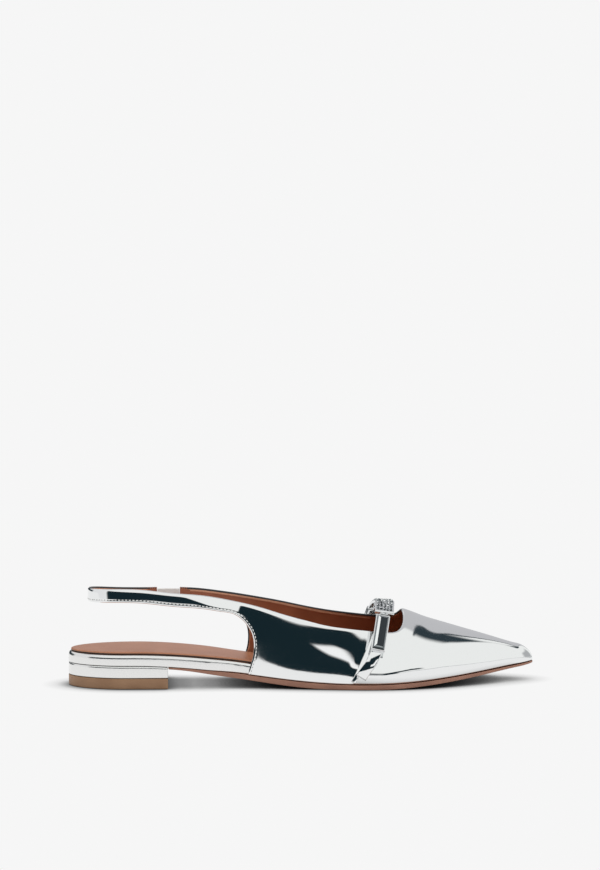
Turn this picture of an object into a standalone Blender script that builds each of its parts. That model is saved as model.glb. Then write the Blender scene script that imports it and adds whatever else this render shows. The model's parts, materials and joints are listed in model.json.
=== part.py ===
"""Pointed sling back flat, right shoe, as separate solids in metres.

+X runs toward the toe, +Y toward the inner (medial) side, -Y toward the outer (lateral) side and +Z up.
The origin lies on the floor under the middle of the heel.
"""
import math

import bmesh
import bpy
import numpy as np

# Main sizes of the shoe
LENGTH = 0.272
BALL_WIDTH = 0.082
HEEL_LENGTH = 0.057
SEAT_HEIGHT = 0.0134
TOP_LIFT_THICKNESS = 0.0060
SOLE_THICKNESS = 0.0029
TOE_SPRING = 0.0082
RIM_THICKNESS = 0.0062
INSOLE_THICKNESS = 0.0014

# Sizes of the upper
WALL = 0.0016
VAMP_HEIGHT = 0.0395
SLING_HEIGHT = 0.057
SLING_WIDTH = 0.0077
SLING_SETBACK = 0.0117
ELASTIC_START = 0.0523
ELASTIC_LENGTH = 0.0135
ELASTIC_WIDTH = 0.0062
ELASTIC_THICKNESS = 0.0011

INSOLE_EDGE = 0.0008

# Clearance between pieces that meet
GAP = 0.0003

# Outline of the feather line: station as a share of the length, half widths as shares of the ball width
PLAN = (
    # station, lateral, medial
    (0.000, 0.293, 0.293),
    (0.110, 0.323, 0.323),
    (0.210, 0.335, 0.323),
    (0.300, 0.329, 0.293),
    (0.370, 0.323, 0.274),
    (0.445, 0.372, 0.299),
    (0.555, 0.451, 0.402),
    (0.630, 0.491, 0.482),
    (0.670, 0.495, 0.502),
    (0.740, 0.457, 0.488),
    (0.815, 0.360, 0.409),
    (0.890, 0.232, 0.287),
    (0.945, 0.130, 0.183),
    (1.000, 0.055, 0.105),
)
HEEL_ROUND = 0.120
TOE_ROUND = 0.965

# Height of the last above the feather line, as a share of the vamp height, and the lean of its ridge
CREST = (
    # station, height, lean as a share of the ball width, pinch of the sides toward the ridge
    (0.000, 2.03, 0.000, 0.00),
    (0.200, 1.97, 0.000, 0.00),
    (0.300, 1.92, 0.000, 0.00),
    (0.400, 1.80, 0.004, 0.04),
    (0.500, 1.54, 0.012, 0.13),
    (0.600, 1.17, 0.022, 0.25),
    (0.660, 1.035, 0.028, 0.29),
    (0.715, 0.975, 0.030, 0.29),
    (0.760, 0.842, 0.030, 0.26),
    (0.800, 0.732, 0.028, 0.22),
    (0.844, 0.613, 0.024, 0.16),
    (0.889, 0.490, 0.018, 0.10),
    (0.931, 0.370, 0.010, 0.05),
    (0.960, 0.290, 0.004, 0.02),
    (1.000, 0.215, 0.000, 0.00),
)
TUCK = math.radians(12.0)

# Thickness of the sole's edge, as a share of the sole thickness
SOLE_EDGE = (
    # station, thickness
    (0.200, 0.42),
    (0.250, 0.52),
    (0.300, 0.80),
    (0.385, 1.05),
    (0.455, 1.15),
    (0.520, 1.15),
    (0.600, 1.08),
    (0.660, 1.02),
    (0.760, 0.92),
    (0.850, 0.80),
    (0.930, 0.62),
    (1.000, 0.50),
)
SEAT_END = 0.130
BALL_START = 0.600
BALL_END = 0.630

# Thickness of the board, as a share of the rim thickness
BOARD = (
    # station, thickness
    (0.000, 1.00),
    (0.200, 1.02),
    (0.385, 1.02),
    (0.470, 0.85),
    (0.560, 0.62),
    (0.700, 0.48),
    (0.850, 0.45),
    (1.000, 0.42),
)
BOARD_TUCK = (0.290, 0.365)

# Height of the topline above the floor, as shares of the sling height
TOPLINE = (
    # station, lateral, medial
    (0.043, 0.982, 0.982),
    (0.100, 1.000, 0.950),
    (0.150, 1.000, 0.940),
    (0.220, 0.964, 0.942),
    (0.282, 0.938, 0.933),
    (0.326, 0.902, 0.909),
    (0.370, 0.856, 0.879),
    (0.411, 0.805, 0.845),
    (0.456, 0.740, 0.804),
    (0.500, 0.684, 0.757),
    (0.541, 0.634, 0.718),
    (0.585, 0.599, 0.687),
    (0.630, 0.571, 0.663),
    (0.670, 0.552, 0.642),
)
THROAT = 0.715
THROAT_SQUARENESS = 3.5
SLING_ROUND = 0.150
QUARTER_START = 0.320
TOPLINE_MIDDLE = 0.500
FEATHER_MIDDLE = 0.640
FEATHER_THROAT = 0.810

# Rear edge of the quarter, from the lower edge of the sling down to the feather line
REAR_EDGE = (
    # station, rise as a share of the way from the feather line to the sling
    (0.320, 1.000),
    (0.349, 0.955),
    (0.371, 0.830),
    (0.385, 0.670),
    (0.390, 0.490),
    (0.388, 0.295),
    (0.382, 0.134),
    (0.378, 0.000),
)
MEDIAL_SETBACK = 0.0005

# Ornament over the throat: a strap from sole to sole, a bar on each side and a square in the middle
STRAP_WIDTH = 0.0062
STRAP_THICKNESS = 0.0012
STRAP_PATH = (
    # angle in degrees, station on the last
    (-6.0, 0.620),
    (0.0, 0.628),
    (5.0, 0.634),
    (9.0, 0.639),
)
BAR_LOW = (15.0, 0.646)
BAR_HIGH = (53.0, 0.664)
BAR_WIDTH = 0.0080
BAR_SETTING = 0.0016
BAR_CRYSTAL = 0.0016
BAR_RIM = 0.0009
BAR_BEVEL = 0.0016
PAVE_STATION = 0.678
PAVE_SLANT = 0.008
PAVE_ANGLE = 58.0
PAVE_WIDTH = 0.0112
PAVE_THICKNESS = 0.0018
STONE_HEIGHT = 0.0009

LATERAL = -1
MEDIAL = 1
X_BACK = -HEEL_LENGTH / 2

# Rows of faces on the upper: along the sling, the rear edge, the topline and the vamp, and across
SLING_STEPS = 12
REAR_STEPS = 12
TOPLINE_STEPS = 8
THROAT_STEPS = 10
VAMP_STEPS = 13
ACROSS_STEPS = 8


def spline(table, column):
    """Natural cubic spline through one column of a table, along its first column."""
    xs = np.array([row[0] for row in table])
    ys = np.array([row[column] for row in table])
    spans = np.diff(xs)
    count = len(xs)
    system = np.eye(count)
    right = np.zeros(count)
    for i in range(1, count - 1):
        system[i, i - 1:i + 2] = spans[i - 1], 2 * (spans[i - 1] + spans[i]), spans[i]
        right[i] = 6 * ((ys[i + 1] - ys[i]) / spans[i] - (ys[i] - ys[i - 1]) / spans[i - 1])
    bend = np.linalg.solve(system, right)

    def value(x):
        i = np.clip(np.searchsorted(xs, x) - 1, 0, count - 2)
        span = spans[i]
        after = xs[i + 1] - x
        before = x - xs[i]
        curve = (bend[i] * after ** 3 + bend[i + 1] * before ** 3) / (6 * span)
        low = (ys[i] / span - bend[i] * span / 6) * after
        high = (ys[i + 1] / span - bend[i + 1] * span / 6) * before
        return curve + low + high

    return value


plan_lateral = spline(PLAN, 1)
plan_medial = spline(PLAN, 2)
crest_share = spline(CREST, 1)
lean_share = spline(CREST, 2)
pinch_share = spline(CREST, 3)
edge_share = spline(SOLE_EDGE, 1)
board_share = spline(BOARD, 1)
topline_share = {LATERAL: spline(TOPLINE, 1), MEDIAL: spline(TOPLINE, 2)}


def closing(station, start, end):
    """Elliptic closing of an outline: 1 before start, 0 at end."""
    share = np.clip((station - start) / (end - start), 0.0, 1.0)
    return np.sqrt(1.0 - share ** 2)


def ease(share, softness):
    """Rise from 0 to 1 that starts level and straightens out."""
    return (np.sqrt(share ** 2 + softness ** 2) - softness) / (math.sqrt(1 + softness ** 2) - softness)


def place_x(station):
    """Turn a station into a coordinate along the shoe."""
    return X_BACK + station * LENGTH


def half_width(station):
    """Half of the width of the last's outline, before its ends are rounded."""
    return (plan_lateral(station) + plan_medial(station)) / 2 * BALL_WIDTH


def middle(station):
    """Sideways place of the middle of the outline."""
    return (plan_medial(station) - plan_lateral(station)) / 2 * BALL_WIDTH


def feather(station):
    """Height of the feather line, where the upper meets the sole."""
    fall = np.clip((station - SEAT_END) / (BALL_START - SEAT_END), 0.0, 1.0)
    rise = np.clip((station - BALL_END) / (1.0 - BALL_END), 0.0, 1.0)
    seat = (SEAT_HEIGHT - SOLE_THICKNESS) * (1 + np.cos(math.pi * fall)) / 2
    return SOLE_THICKNESS + seat + TOE_SPRING * ease(rise, 0.5)


def underside(station):
    """Height of the sole's underside, cut level by the floor under the ball."""
    return np.maximum(feather(station) - SOLE_THICKNESS * edge_share(station), 0.0)


def board_top(station):
    """Height of the top of the board."""
    return feather(station) + RIM_THICKNESS * board_share(station)


def last_height(station):
    """Height of the last's ridge above the feather line."""
    return crest_share(station) * VAMP_HEIGHT * closing(station, TOE_ROUND, 1.0)


def last_point(side, station, angle):
    """Point of the last's surface: angle runs from -TUCK at the feather line to 90 degrees at the ridge."""
    sling_back = SLING_SETBACK / LENGTH
    ends = closing(station, SLING_ROUND, sling_back) * closing(station, TOE_ROUND, 1.0)
    rise = (np.sin(angle) + math.sin(TUCK)) / (1 + math.sin(TUCK))
    lean = lean_share(station) * BALL_WIDTH * ends * rise
    side_share = np.cos(angle) * (1 - pinch_share(station) * rise)
    y = middle(station) + side * half_width(station) * ends * side_share + lean
    return np.array((place_x(station), y, feather(station) + last_height(station) * rise))


def angle_at(station, height):
    """Angle of the last's section at a height above the floor."""
    rise = (height - feather(station)) / last_height(station)
    return np.arcsin(np.clip(rise * (1 + math.sin(TUCK)) - math.sin(TUCK), -1.0, 1.0))


def spread(points, side, count):
    """Spread count + 1 (station, angle) pairs evenly along a curve on the last."""
    solid = np.array([last_point(side, station, angle) for station, angle in points])
    run = np.concatenate(((0.0,), np.cumsum(np.linalg.norm(np.diff(solid, axis=0), axis=1))))
    wanted = np.linspace(0.0, run[-1], count + 1)
    flat = np.array(points)
    return [(np.interp(w, run, flat[:, 0]), np.interp(w, run, flat[:, 1])) for w in wanted]


def topline_angle(side, station):
    """Angle of the topline on one side."""
    return angle_at(station, topline_share[side](station) * SLING_HEIGHT)


def sling_bottom_angle(side, station):
    """Angle of the lower edge of the sling on one side."""
    return angle_at(station, topline_share[side](station) * SLING_HEIGHT - SLING_WIDTH)


def sling_stations(start, end, fine=60):
    """Stations along the sling, dense where it turns round the back."""
    turn = np.linspace(0.0, 1.0, fine) ** 2
    return start + (end - start) * turn


def sling_edges(side, start, end, count):
    """Lower and upper edge of the sling between two stations."""
    stations = sling_stations(start, end)
    low = [(s, sling_bottom_angle(side, s)) for s in stations]
    high = [(s, topline_angle(side, s)) for s in stations]
    return spread(low, side, count), spread(high, side, count)


def rear_edge(side, count):
    """Rear edge of the quarter from the sling down to the feather line."""
    setback = MEDIAL_SETBACK / LENGTH if side == MEDIAL else 0.0
    rows = len(REAR_EDGE)
    order = tuple((i / (rows - 1),) + row for i, row in enumerate(REAR_EDGE))
    station_of = spline(order, 1)
    rise_of = spline(order, 2)
    start = QUARTER_START
    top = topline_share[side](start) * SLING_HEIGHT - SLING_WIDTH
    curve = []
    for step in np.linspace(0.0, 1.0, 80):
        station = station_of(step) - setback * min(1.0, step * 2)
        height = feather(station) + (top - feather(station)) * max(rise_of(step), 0.0)
        curve.append((station, angle_at(station, height)))
    return spread(curve, side, count)


def topline_run(side, start, end, count):
    """Topline between two stations."""
    return spread([(s, topline_angle(side, s)) for s in np.linspace(start, end, 60)], side, count)


def throat_edge(side, count):
    """Edge of the throat from the topline to the ridge, with its squared corner."""
    corner = TOPLINE[-1][0]
    low = topline_angle(side, corner)
    curve = [(corner, low)]
    power = 2 / THROAT_SQUARENESS
    for turn in np.linspace(0.0, math.pi / 2, 60)[1:]:
        station = corner + (THROAT - corner) * math.sin(turn) ** power
        angle = math.pi / 2 - (math.pi / 2 - low) * max(math.cos(turn), 0.0) ** power
        curve.append((station, angle))
    curve[-1] = (THROAT, math.pi / 2)
    return spread(curve, side, count)


def toe_stations(start, count):
    """Stations from a start to the tip, closer together as the toe closes."""
    turn = np.linspace(0.0, math.pi / 2, count + 1)
    return start + (1.0 - start) * np.sin(turn) ** 1.2


def quarter_edges(side):
    """Lower and upper edge of the quarter and the vamp, rib by rib to the tip."""
    low = rear_edge(side, REAR_STEPS)
    corner = low[-1][0]
    high = topline_run(side, QUARTER_START, TOPLINE_MIDDLE, REAR_STEPS)
    low += [(s, -TUCK) for s in np.linspace(corner, FEATHER_MIDDLE, TOPLINE_STEPS + 1)[1:]]
    high += topline_run(side, TOPLINE_MIDDLE, TOPLINE[-1][0], TOPLINE_STEPS)[1:]
    low += [(s, -TUCK) for s in np.linspace(FEATHER_MIDDLE, FEATHER_THROAT, THROAT_STEPS + 1)[1:]]
    high += throat_edge(side, THROAT_STEPS)[1:]
    low += [(s, -TUCK) for s in toe_stations(FEATHER_THROAT, VAMP_STEPS)[1:]]
    high += [(s, math.pi / 2) for s in toe_stations(THROAT, VAMP_STEPS)[1:]]
    return low, high


def new_object(name, bm, colour, roughness, metallic, sharp=35.0):
    """Make a named object with its own material from a bmesh."""
    mesh = bpy.data.meshes.new(name)
    bm.to_mesh(mesh)
    bm.free()
    mesh.shade_smooth()
    mesh.set_sharp_from_angle(angle=math.radians(sharp))
    obj = bpy.data.objects.new(name, mesh)
    bpy.context.scene.collection.objects.link(obj)
    material = bpy.data.materials.new(name)
    material.use_nodes = True
    shader = material.node_tree.nodes["Principled BSDF"]
    shader.inputs["Base Color"].default_value = (*colour, 1.0)
    shader.inputs["Roughness"].default_value = roughness
    shader.inputs["Metallic"].default_value = metallic
    mesh.materials.append(material)
    return obj


def rib_vertices(bm, side, low, high, steps, shared=None):
    """Vertices of one rib from its lower to its upper end, with its top vertex shared where given."""
    rib = []
    for j in range(steps + 1):
        share = j / steps
        station = low[0] + (high[0] - low[0]) * share
        angle = low[1] + (high[1] - low[1]) * share
        if shared is not None and j == steps:
            rib.append(shared)
        else:
            rib.append(bm.verts.new(last_point(side, station, angle)))
    return rib


def skin(bm, side, ribs):
    """Faces between neighbouring ribs, wound to face outward."""
    for first, second in zip(ribs, ribs[1:]):
        for j in range(len(first) - 1):
            corners = [first[j], second[j], second[j + 1], first[j + 1]]
            face = []
            for corner in corners:
                if corner not in face:
                    face.append(corner)
            if side == MEDIAL:
                face.reverse()
            bm.faces.new(face)


def build_upper():
    """Vamp, quarters and sling as one skin, thickened inward to the wall."""
    bm = bmesh.new()
    back = SLING_SETBACK / LENGTH
    ribs = {}
    low, high = sling_edges(LATERAL, back, QUARTER_START, SLING_STEPS)
    low2, high2 = quarter_edges(LATERAL)
    low += low2[1:]
    high += high2[1:]
    crest_from = SLING_STEPS + REAR_STEPS + TOPLINE_STEPS + THROAT_STEPS
    ribs[LATERAL] = [rib_vertices(bm, LATERAL, a, b, ACROSS_STEPS) for a, b in zip(low[:-1], high[:-1])]
    tip = bm.verts.new(last_point(LATERAL, 1.0, -TUCK))
    ribs[LATERAL].append([tip] * (ACROSS_STEPS + 1))
    skin(bm, LATERAL, ribs[LATERAL])

    low, high = sling_edges(MEDIAL, back, ELASTIC_START / LENGTH, SLING_STEPS * 2 // 3)
    strap = [ribs[LATERAL][0]]
    strap += [rib_vertices(bm, MEDIAL, a, b, ACROSS_STEPS) for a, b in zip(low[1:], high[1:])]
    skin(bm, MEDIAL, strap)

    stub = (ELASTIC_START + ELASTIC_LENGTH) / LENGTH
    low, high = sling_edges(MEDIAL, stub, QUARTER_START, SLING_STEPS // 3)
    low2, high2 = quarter_edges(MEDIAL)
    low += low2[1:]
    high += high2[1:]
    offset = crest_from - SLING_STEPS + SLING_STEPS // 3
    front = []
    for i, (a, b) in enumerate(zip(low[:-1], high[:-1])):
        shared = None
        if i >= offset:
            shared = ribs[LATERAL][i - offset + crest_from][-1]
        front.append(rib_vertices(bm, MEDIAL, a, b, ACROSS_STEPS, shared))
    front.append([tip] * (ACROSS_STEPS + 1))
    skin(bm, MEDIAL, front)
    obj = new_object("upper", bm, (0.80, 0.81, 0.82), 0.06, 1.0)
    wall = obj.modifiers.new("wall", "SOLIDIFY")
    wall.thickness = WALL
    wall.offset = -1.0
    wall.use_even_offset = False
    return obj


def smooth_step(value, low, high):
    """Smooth rise from 0 at low to 1 at high."""
    share = np.clip((value - low) / (high - low), 0.0, 1.0)
    return share * share * (3 - 2 * share)


def outline_rows(rear_inset, front_inset, start, end, count):
    """Rows (station, lateral, medial) of the plan moved inward, between two stations or its own ends."""
    turn = (1 - np.cos(np.linspace(0.0, math.pi, 600))) / 2
    ends = closing(turn, HEEL_ROUND, 0.0) * closing(turn, TOE_ROUND, 1.0)
    inset = rear_inset + (front_inset - rear_inset) * smooth_step(turn, *BOARD_TUCK)
    moved = {}
    for side in (LATERAL, MEDIAL):
        x = turn * LENGTH
        y = middle(turn) + side * half_width(turn) * ends
        along = np.gradient(np.stack((x, y)), axis=1)
        along /= np.linalg.norm(along, axis=0)
        moved[side] = ((x + side * along[1] * inset) / LENGTH, y - side * along[0] * inset)
    own_start = max(moved[side][0][0] for side in moved)
    own_end = min(moved[side][0][-1] for side in moved)
    first = own_start if start is None else start
    last = own_end if end is None else end
    rows = []
    for i in range(count + 1):
        share = i / count
        if start is None:
            share = 1 - math.cos(share * math.pi / 2) if end is not None else (1 - math.cos(share * math.pi)) / 2
        elif end is None:
            share = math.sin(share * math.pi / 2)
        station = first + (last - first) * share
        sides = [float(np.interp(station, *moved[side])) for side in (LATERAL, MEDIAL)]
        if (i == 0 and start is None) or (i == count and end is None):
            sides = [sum(sides) / 2] * 2
        rows.append((station, *sides))
    return rows


def slab(bm, rows, bottom, top):
    """Closed body between two surfaces over an outline given by rows."""
    rings = []
    for station, lateral, medial in rows:
        x = place_x(station)
        ring = []
        for y, z in ((lateral, bottom), (medial, bottom), (medial, top), (lateral, top)):
            ring.append(bm.verts.new((x, y, float(z(station)))))
        rings.append(ring)
    for first, second in zip(rings, rings[1:]):
        for k in range(4):
            bm.faces.new((first[k], first[(k + 1) % 4], second[(k + 1) % 4], second[k]))
    bm.faces.new(rings[0][::-1])
    bm.faces.new(rings[-1])
    bmesh.ops.remove_doubles(bm, verts=bm.verts, dist=1e-6)
    bmesh.ops.dissolve_degenerate(bm, edges=bm.edges, dist=1e-7)
    bmesh.ops.recalc_face_normals(bm, faces=bm.faces)


def build_sole():
    """Outsole, board and insole."""
    breast = HEEL_LENGTH / LENGTH
    bm = bmesh.new()
    rows = outline_rows(0.0, 0.0, breast + GAP / LENGTH, None, 44)
    slab(bm, rows, underside, lambda s: feather(s) - GAP)
    new_object("outsole", bm, (0.45, 0.26, 0.17), 0.6, 0.0)
    bm = bmesh.new()
    front = WALL + BALL_WIDTH / 2 * (1 - math.cos(TUCK)) + 2 * GAP
    slab(bm, outline_rows(GAP, front, None, None, 52), feather, board_top)
    new_object("midsole", bm, (0.80, 0.81, 0.82), 0.08, 1.0)
    bm = bmesh.new()
    rows = outline_rows(INSOLE_EDGE, front + INSOLE_EDGE, None, None, 48)
    slab(bm, rows, lambda s: board_top(s) + GAP, lambda s: board_top(s) + GAP + INSOLE_THICKNESS)
    new_object("insole", bm, (0.55, 0.27, 0.15), 0.55, 0.0)


def build_heel():
    """Top lift on the floor and the wrapped block above it."""
    breast = HEEL_LENGTH / LENGTH
    bm = bmesh.new()
    slab(bm, outline_rows(GAP, GAP, None, breast, 20), lambda s: 0.0, lambda s: TOP_LIFT_THICKNESS)
    new_object("top_lift", bm, (0.42, 0.25, 0.14), 0.6, 0.0)
    bm = bmesh.new()
    rows = outline_rows(GAP, GAP, None, breast, 20)
    slab(bm, rows, lambda s: TOP_LIFT_THICKNESS + GAP, lambda s: feather(s) - GAP)
    new_object("heel_block", bm, (0.80, 0.81, 0.82), 0.08, 1.0)


def last_normal(side, station, angle):
    """Outward unit normal of the last."""
    step = 1e-4
    along = last_point(side, station + step, angle) - last_point(side, station - step, angle)
    up = last_point(side, station, angle + step) - last_point(side, station, angle - step)
    normal = np.cross(along, up) if side == LATERAL else np.cross(up, along)
    return normal / np.linalg.norm(normal)


def bar_line(side):
    """Back of the stiff bar: its two ends and outward normal, moved out until it clears the upper."""
    ends = []
    for angle, station in (BAR_LOW, BAR_HIGH):
        ends.append(last_point(side, station, math.radians(angle)))
    low, high = ends
    run = (high - low) / np.linalg.norm(high - low)
    middle_angle = math.radians((BAR_LOW[0] + BAR_HIGH[0]) / 2)
    middle_station = (BAR_LOW[1] + BAR_HIGH[1]) / 2
    normal = last_normal(side, middle_station, middle_angle)
    normal -= run * normal.dot(run)
    normal /= np.linalg.norm(normal)
    proud = 0.0
    across = np.cross(run, normal)
    for share in np.linspace(0.0, 1.0, 21):
        angle = math.radians(BAR_LOW[0] + (BAR_HIGH[0] - BAR_LOW[0]) * share)
        for shift in (-0.5, 0.0, 0.5):
            station = BAR_LOW[1] + (BAR_HIGH[1] - BAR_LOW[1]) * share + shift * BAR_WIDTH / LENGTH
            if angle <= topline_angle(side, min(station, TOPLINE[-1][0])) + math.radians(4.0):
                proud = max(proud, (last_point(side, station, angle) - low).dot(normal))
    shift = normal * (proud + 2 * GAP)
    return low + shift, high + shift, normal, across


def strap_frames(side):
    """Points, outward normals and directions across for one half of the strap, from the sole up."""
    frames = []
    angles = [row[0] for row in STRAP_PATH]
    stations = [row[1] for row in STRAP_PATH]
    for degrees in np.linspace(angles[0], angles[-1], 7):
        station = float(np.interp(degrees, angles, stations))
        angle = math.radians(degrees)
        normal = last_normal(side, station, angle)
        frames.append([last_point(side, station, angle) + normal * 2 * GAP, normal])
    low, high, normal, across = bar_line(side)
    for share in (0.08, 0.5, 0.97):
        frames.append([low + (high - low) * share, normal])
    for point, normal, across in pave_frames(7, 1.0)[:4] if side == LATERAL else pave_frames(7, 1.0)[:2:-1]:
        frames.append([point, normal])
    points = np.array([frame[0] for frame in frames])
    runs = np.gradient(points, axis=0)
    result = []
    for (point, normal), run in zip(frames, runs):
        direction = np.cross(normal, run) if side == LATERAL else np.cross(run, normal)
        direction /= np.linalg.norm(direction)
        if direction[0] < 0:
            direction = -direction
        result.append((point, normal, direction))
    return result


def ribbon(bm, frames, width, thickness, lift=0.0):
    """Closed band of a width and a thickness along a row of frames."""
    rings = []
    for point, normal, across in frames:
        ring = []
        for side, height in ((-0.5, 0.0), (0.5, 0.0), (0.5, thickness), (-0.5, thickness)):
            ring.append(bm.verts.new(point + across * side * width + normal * (lift + height)))
        rings.append(ring)
    for first, second in zip(rings, rings[1:]):
        for k in range(4):
            bm.faces.new((first[k], first[(k + 1) % 4], second[(k + 1) % 4], second[k]))
    bm.faces.new(rings[0][::-1])
    bm.faces.new(rings[-1])
    bmesh.ops.recalc_face_normals(bm, faces=bm.faces)


def build_strap():
    """Strap of the ornament from the lateral to the medial sole."""
    lateral = strap_frames(LATERAL)
    medial = strap_frames(MEDIAL)
    top = lateral[-1]
    up = np.array((top[1][0], 0.0, top[1][2]))
    up /= np.linalg.norm(up)
    frames = lateral[:-1] + [(top[0], up, np.cross((0.0, 1.0, 0.0), up))] + medial[:-1][::-1]
    bm = bmesh.new()
    ribbon(bm, frames, STRAP_WIDTH, STRAP_THICKNESS)
    new_object("ornament_strap", bm, (0.80, 0.81, 0.82), 0.08, 1.0)


def build_bar(side, name):
    """Metal setting and long step-cut crystal on one side."""
    low, high, normal, across = bar_line(side)
    base = STRAP_THICKNESS + GAP
    bm = bmesh.new()
    ribbon(bm, [(low, normal, across), (high, normal, across)], BAR_WIDTH, BAR_SETTING, base)
    new_object(name + "_bar_setting", bm, (0.75, 0.75, 0.76), 0.15, 1.0)
    run = (high - low) / np.linalg.norm(high - low)
    bm = bmesh.new()
    rings = []
    for inset, height in ((0.0, 0.0), (0.0, 0.4), (1.0, 1.0)):
        half = BAR_WIDTH / 2 - BAR_RIM - inset * BAR_BEVEL
        cut = BAR_RIM + inset * BAR_BEVEL
        lift = normal * (base + BAR_SETTING + GAP + height * BAR_CRYSTAL)
        corners = []
        for end, way in ((low, 1), (high, -1)):
            for sign in (-way, way):
                corners.append(bm.verts.new(end + run * way * cut + across * sign * half + lift))
        rings.append(corners)
    for first, second in zip(rings, rings[1:]):
        for k in range(4):
            bm.faces.new((first[k], first[(k + 1) % 4], second[(k + 1) % 4], second[k]))
    bm.faces.new(rings[0][::-1])
    bm.faces.new(rings[-1])
    bmesh.ops.recalc_face_normals(bm, faces=bm.faces)
    new_object(name + "_bar_crystal", bm, (0.85, 0.88, 0.90), 0.03, 0.0, 10.0)


def pave_frames(count, reach):
    """Frames across the middle of the throat, from the lateral to the medial side."""
    frames = []
    for share in np.linspace(-1.0, 1.0, count):
        side = LATERAL if share < 0 else MEDIAL
        angle = math.pi / 2 - abs(share) * (math.pi / 2 - math.radians(PAVE_ANGLE)) * reach
        station = PAVE_STATION - abs(share) * PAVE_SLANT
        point = last_point(side, station, angle)
        normal = last_normal(side, station, min(angle, math.radians(88.5)))
        if abs(share) < 0.01:
            normal[1] = 0.0
            normal /= np.linalg.norm(normal)
        frames.append((point, normal, np.cross((0.0, 1.0, 0.0), normal)))
    return [(a, b, c / np.linalg.norm(c)) for a, b, c in frames]


def build_pave():
    """Curved square setting and its rows of small stones."""
    base = STRAP_THICKNESS + GAP
    bm = bmesh.new()
    ribbon(bm, pave_frames(7, 0.96), PAVE_WIDTH, PAVE_THICKNESS, base)
    new_object("pave_setting", bm, (0.75, 0.75, 0.76), 0.15, 1.0)
    bm = bmesh.new()
    ribbon(bm, pave_frames(7, 0.90), PAVE_WIDTH * 0.88, STONE_HEIGHT, base + PAVE_THICKNESS + GAP)
    new_object("rhinestones", bm, (0.85, 0.88, 0.90), 0.05, 0.0, 10.0)


def build_elastic():
    """Elastic between the end of the sling and the tab of the medial quarter."""
    start = (ELASTIC_START + GAP) / LENGTH
    end = (ELASTIC_START + ELASTIC_LENGTH - GAP) / LENGTH
    frames = []
    for station in np.linspace(start, end, 8):
        height = topline_share[MEDIAL](station) * SLING_HEIGHT - SLING_WIDTH / 2
        angle = angle_at(station, height)
        normal = last_normal(MEDIAL, station, angle)
        inner = last_point(MEDIAL, station, angle) - normal * (WALL + ELASTIC_THICKNESS) / 2
        rise = last_point(MEDIAL, station, angle + 0.01) - last_point(MEDIAL, station, angle - 0.01)
        frames.append((inner, normal, rise / np.linalg.norm(rise)))
    bm = bmesh.new()
    ribbon(bm, frames, ELASTIC_WIDTH, ELASTIC_THICKNESS)
    new_object("sling_elastic", bm, (0.70, 0.70, 0.70), 0.8, 0.0)


def clear_scene():
    """Remove the objects that a new scene starts with."""
    for old in list(bpy.data.objects):
        bpy.data.objects.remove(old, do_unlink=True)


clear_scene()
build_upper()
build_sole()
build_heel()
build_elastic()
build_strap()
build_bar(LATERAL, "lateral")
build_bar(MEDIAL, "medial")
build_pave()
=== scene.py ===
"""Looks of a pointed sling back flat: fine surfaces, materials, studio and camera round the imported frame."""
import json
import math

import bmesh
import bpy
import numpy as np
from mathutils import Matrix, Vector
from mathutils.kdtree import KDTree

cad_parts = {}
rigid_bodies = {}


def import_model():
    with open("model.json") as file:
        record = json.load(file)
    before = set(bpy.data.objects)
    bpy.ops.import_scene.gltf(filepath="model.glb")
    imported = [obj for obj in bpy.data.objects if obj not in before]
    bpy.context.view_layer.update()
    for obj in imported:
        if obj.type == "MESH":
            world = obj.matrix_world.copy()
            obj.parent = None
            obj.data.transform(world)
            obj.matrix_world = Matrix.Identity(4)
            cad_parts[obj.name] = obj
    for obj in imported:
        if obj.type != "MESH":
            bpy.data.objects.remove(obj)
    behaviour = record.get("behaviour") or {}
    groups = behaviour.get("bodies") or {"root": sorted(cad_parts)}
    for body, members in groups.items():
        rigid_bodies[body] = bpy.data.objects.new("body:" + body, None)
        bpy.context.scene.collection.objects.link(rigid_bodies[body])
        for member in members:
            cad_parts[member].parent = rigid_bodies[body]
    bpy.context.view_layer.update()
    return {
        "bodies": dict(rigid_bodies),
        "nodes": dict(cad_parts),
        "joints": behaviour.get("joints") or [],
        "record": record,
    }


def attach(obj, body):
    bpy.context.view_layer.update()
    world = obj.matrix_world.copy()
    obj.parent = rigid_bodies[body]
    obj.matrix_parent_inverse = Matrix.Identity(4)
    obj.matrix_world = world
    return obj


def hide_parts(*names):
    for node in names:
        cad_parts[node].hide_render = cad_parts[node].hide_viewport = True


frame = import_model()

# Sizes of the shoe, in metres, as the solids have them but for the strap's foot and the insole's inset
LENGTH = 0.272
BALL_WIDTH = 0.082
HEEL_LENGTH = 0.057
SEAT_HEIGHT = 0.0134
TOP_LIFT_THICKNESS = 0.0060
SOLE_THICKNESS = 0.0029
TOE_SPRING = 0.0082
RIM_THICKNESS = 0.0062
INSOLE_THICKNESS = 0.0014
WALL = 0.0016
VAMP_HEIGHT = 0.0395
SLING_HEIGHT = 0.057
SLING_WIDTH = 0.0077
SLING_SETBACK = 0.0117
ELASTIC_START = 0.0523
ELASTIC_LENGTH = 0.0135
ELASTIC_WIDTH = 0.0062
INSOLE_EDGE = 0.0008
INSOLE_INSET = 0.0018
INSOLE_LINE = 0.0006
GAP = 0.0003
ELASTIC_THICKNESS = 0.0011
STRAP_WIDTH = 0.0062
STRAP_THICKNESS = 0.0012
STRAP_PATH = (
    # angle in degrees, station on the last
    (-6.0, 0.612),
    (0.0, 0.621),
    (5.0, 0.630),
    (9.0, 0.637),
)
BAR_LOW = (15.0, 0.646)
BAR_HIGH = (53.0, 0.664)
BAR_WIDTH = 0.0080
BAR_SETTING = 0.0016
BAR_CRYSTAL = 0.0016
BAR_RIM = 0.0009
BAR_BEVEL = 0.00018
BAR_REACH = math.radians(4.0)
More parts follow.
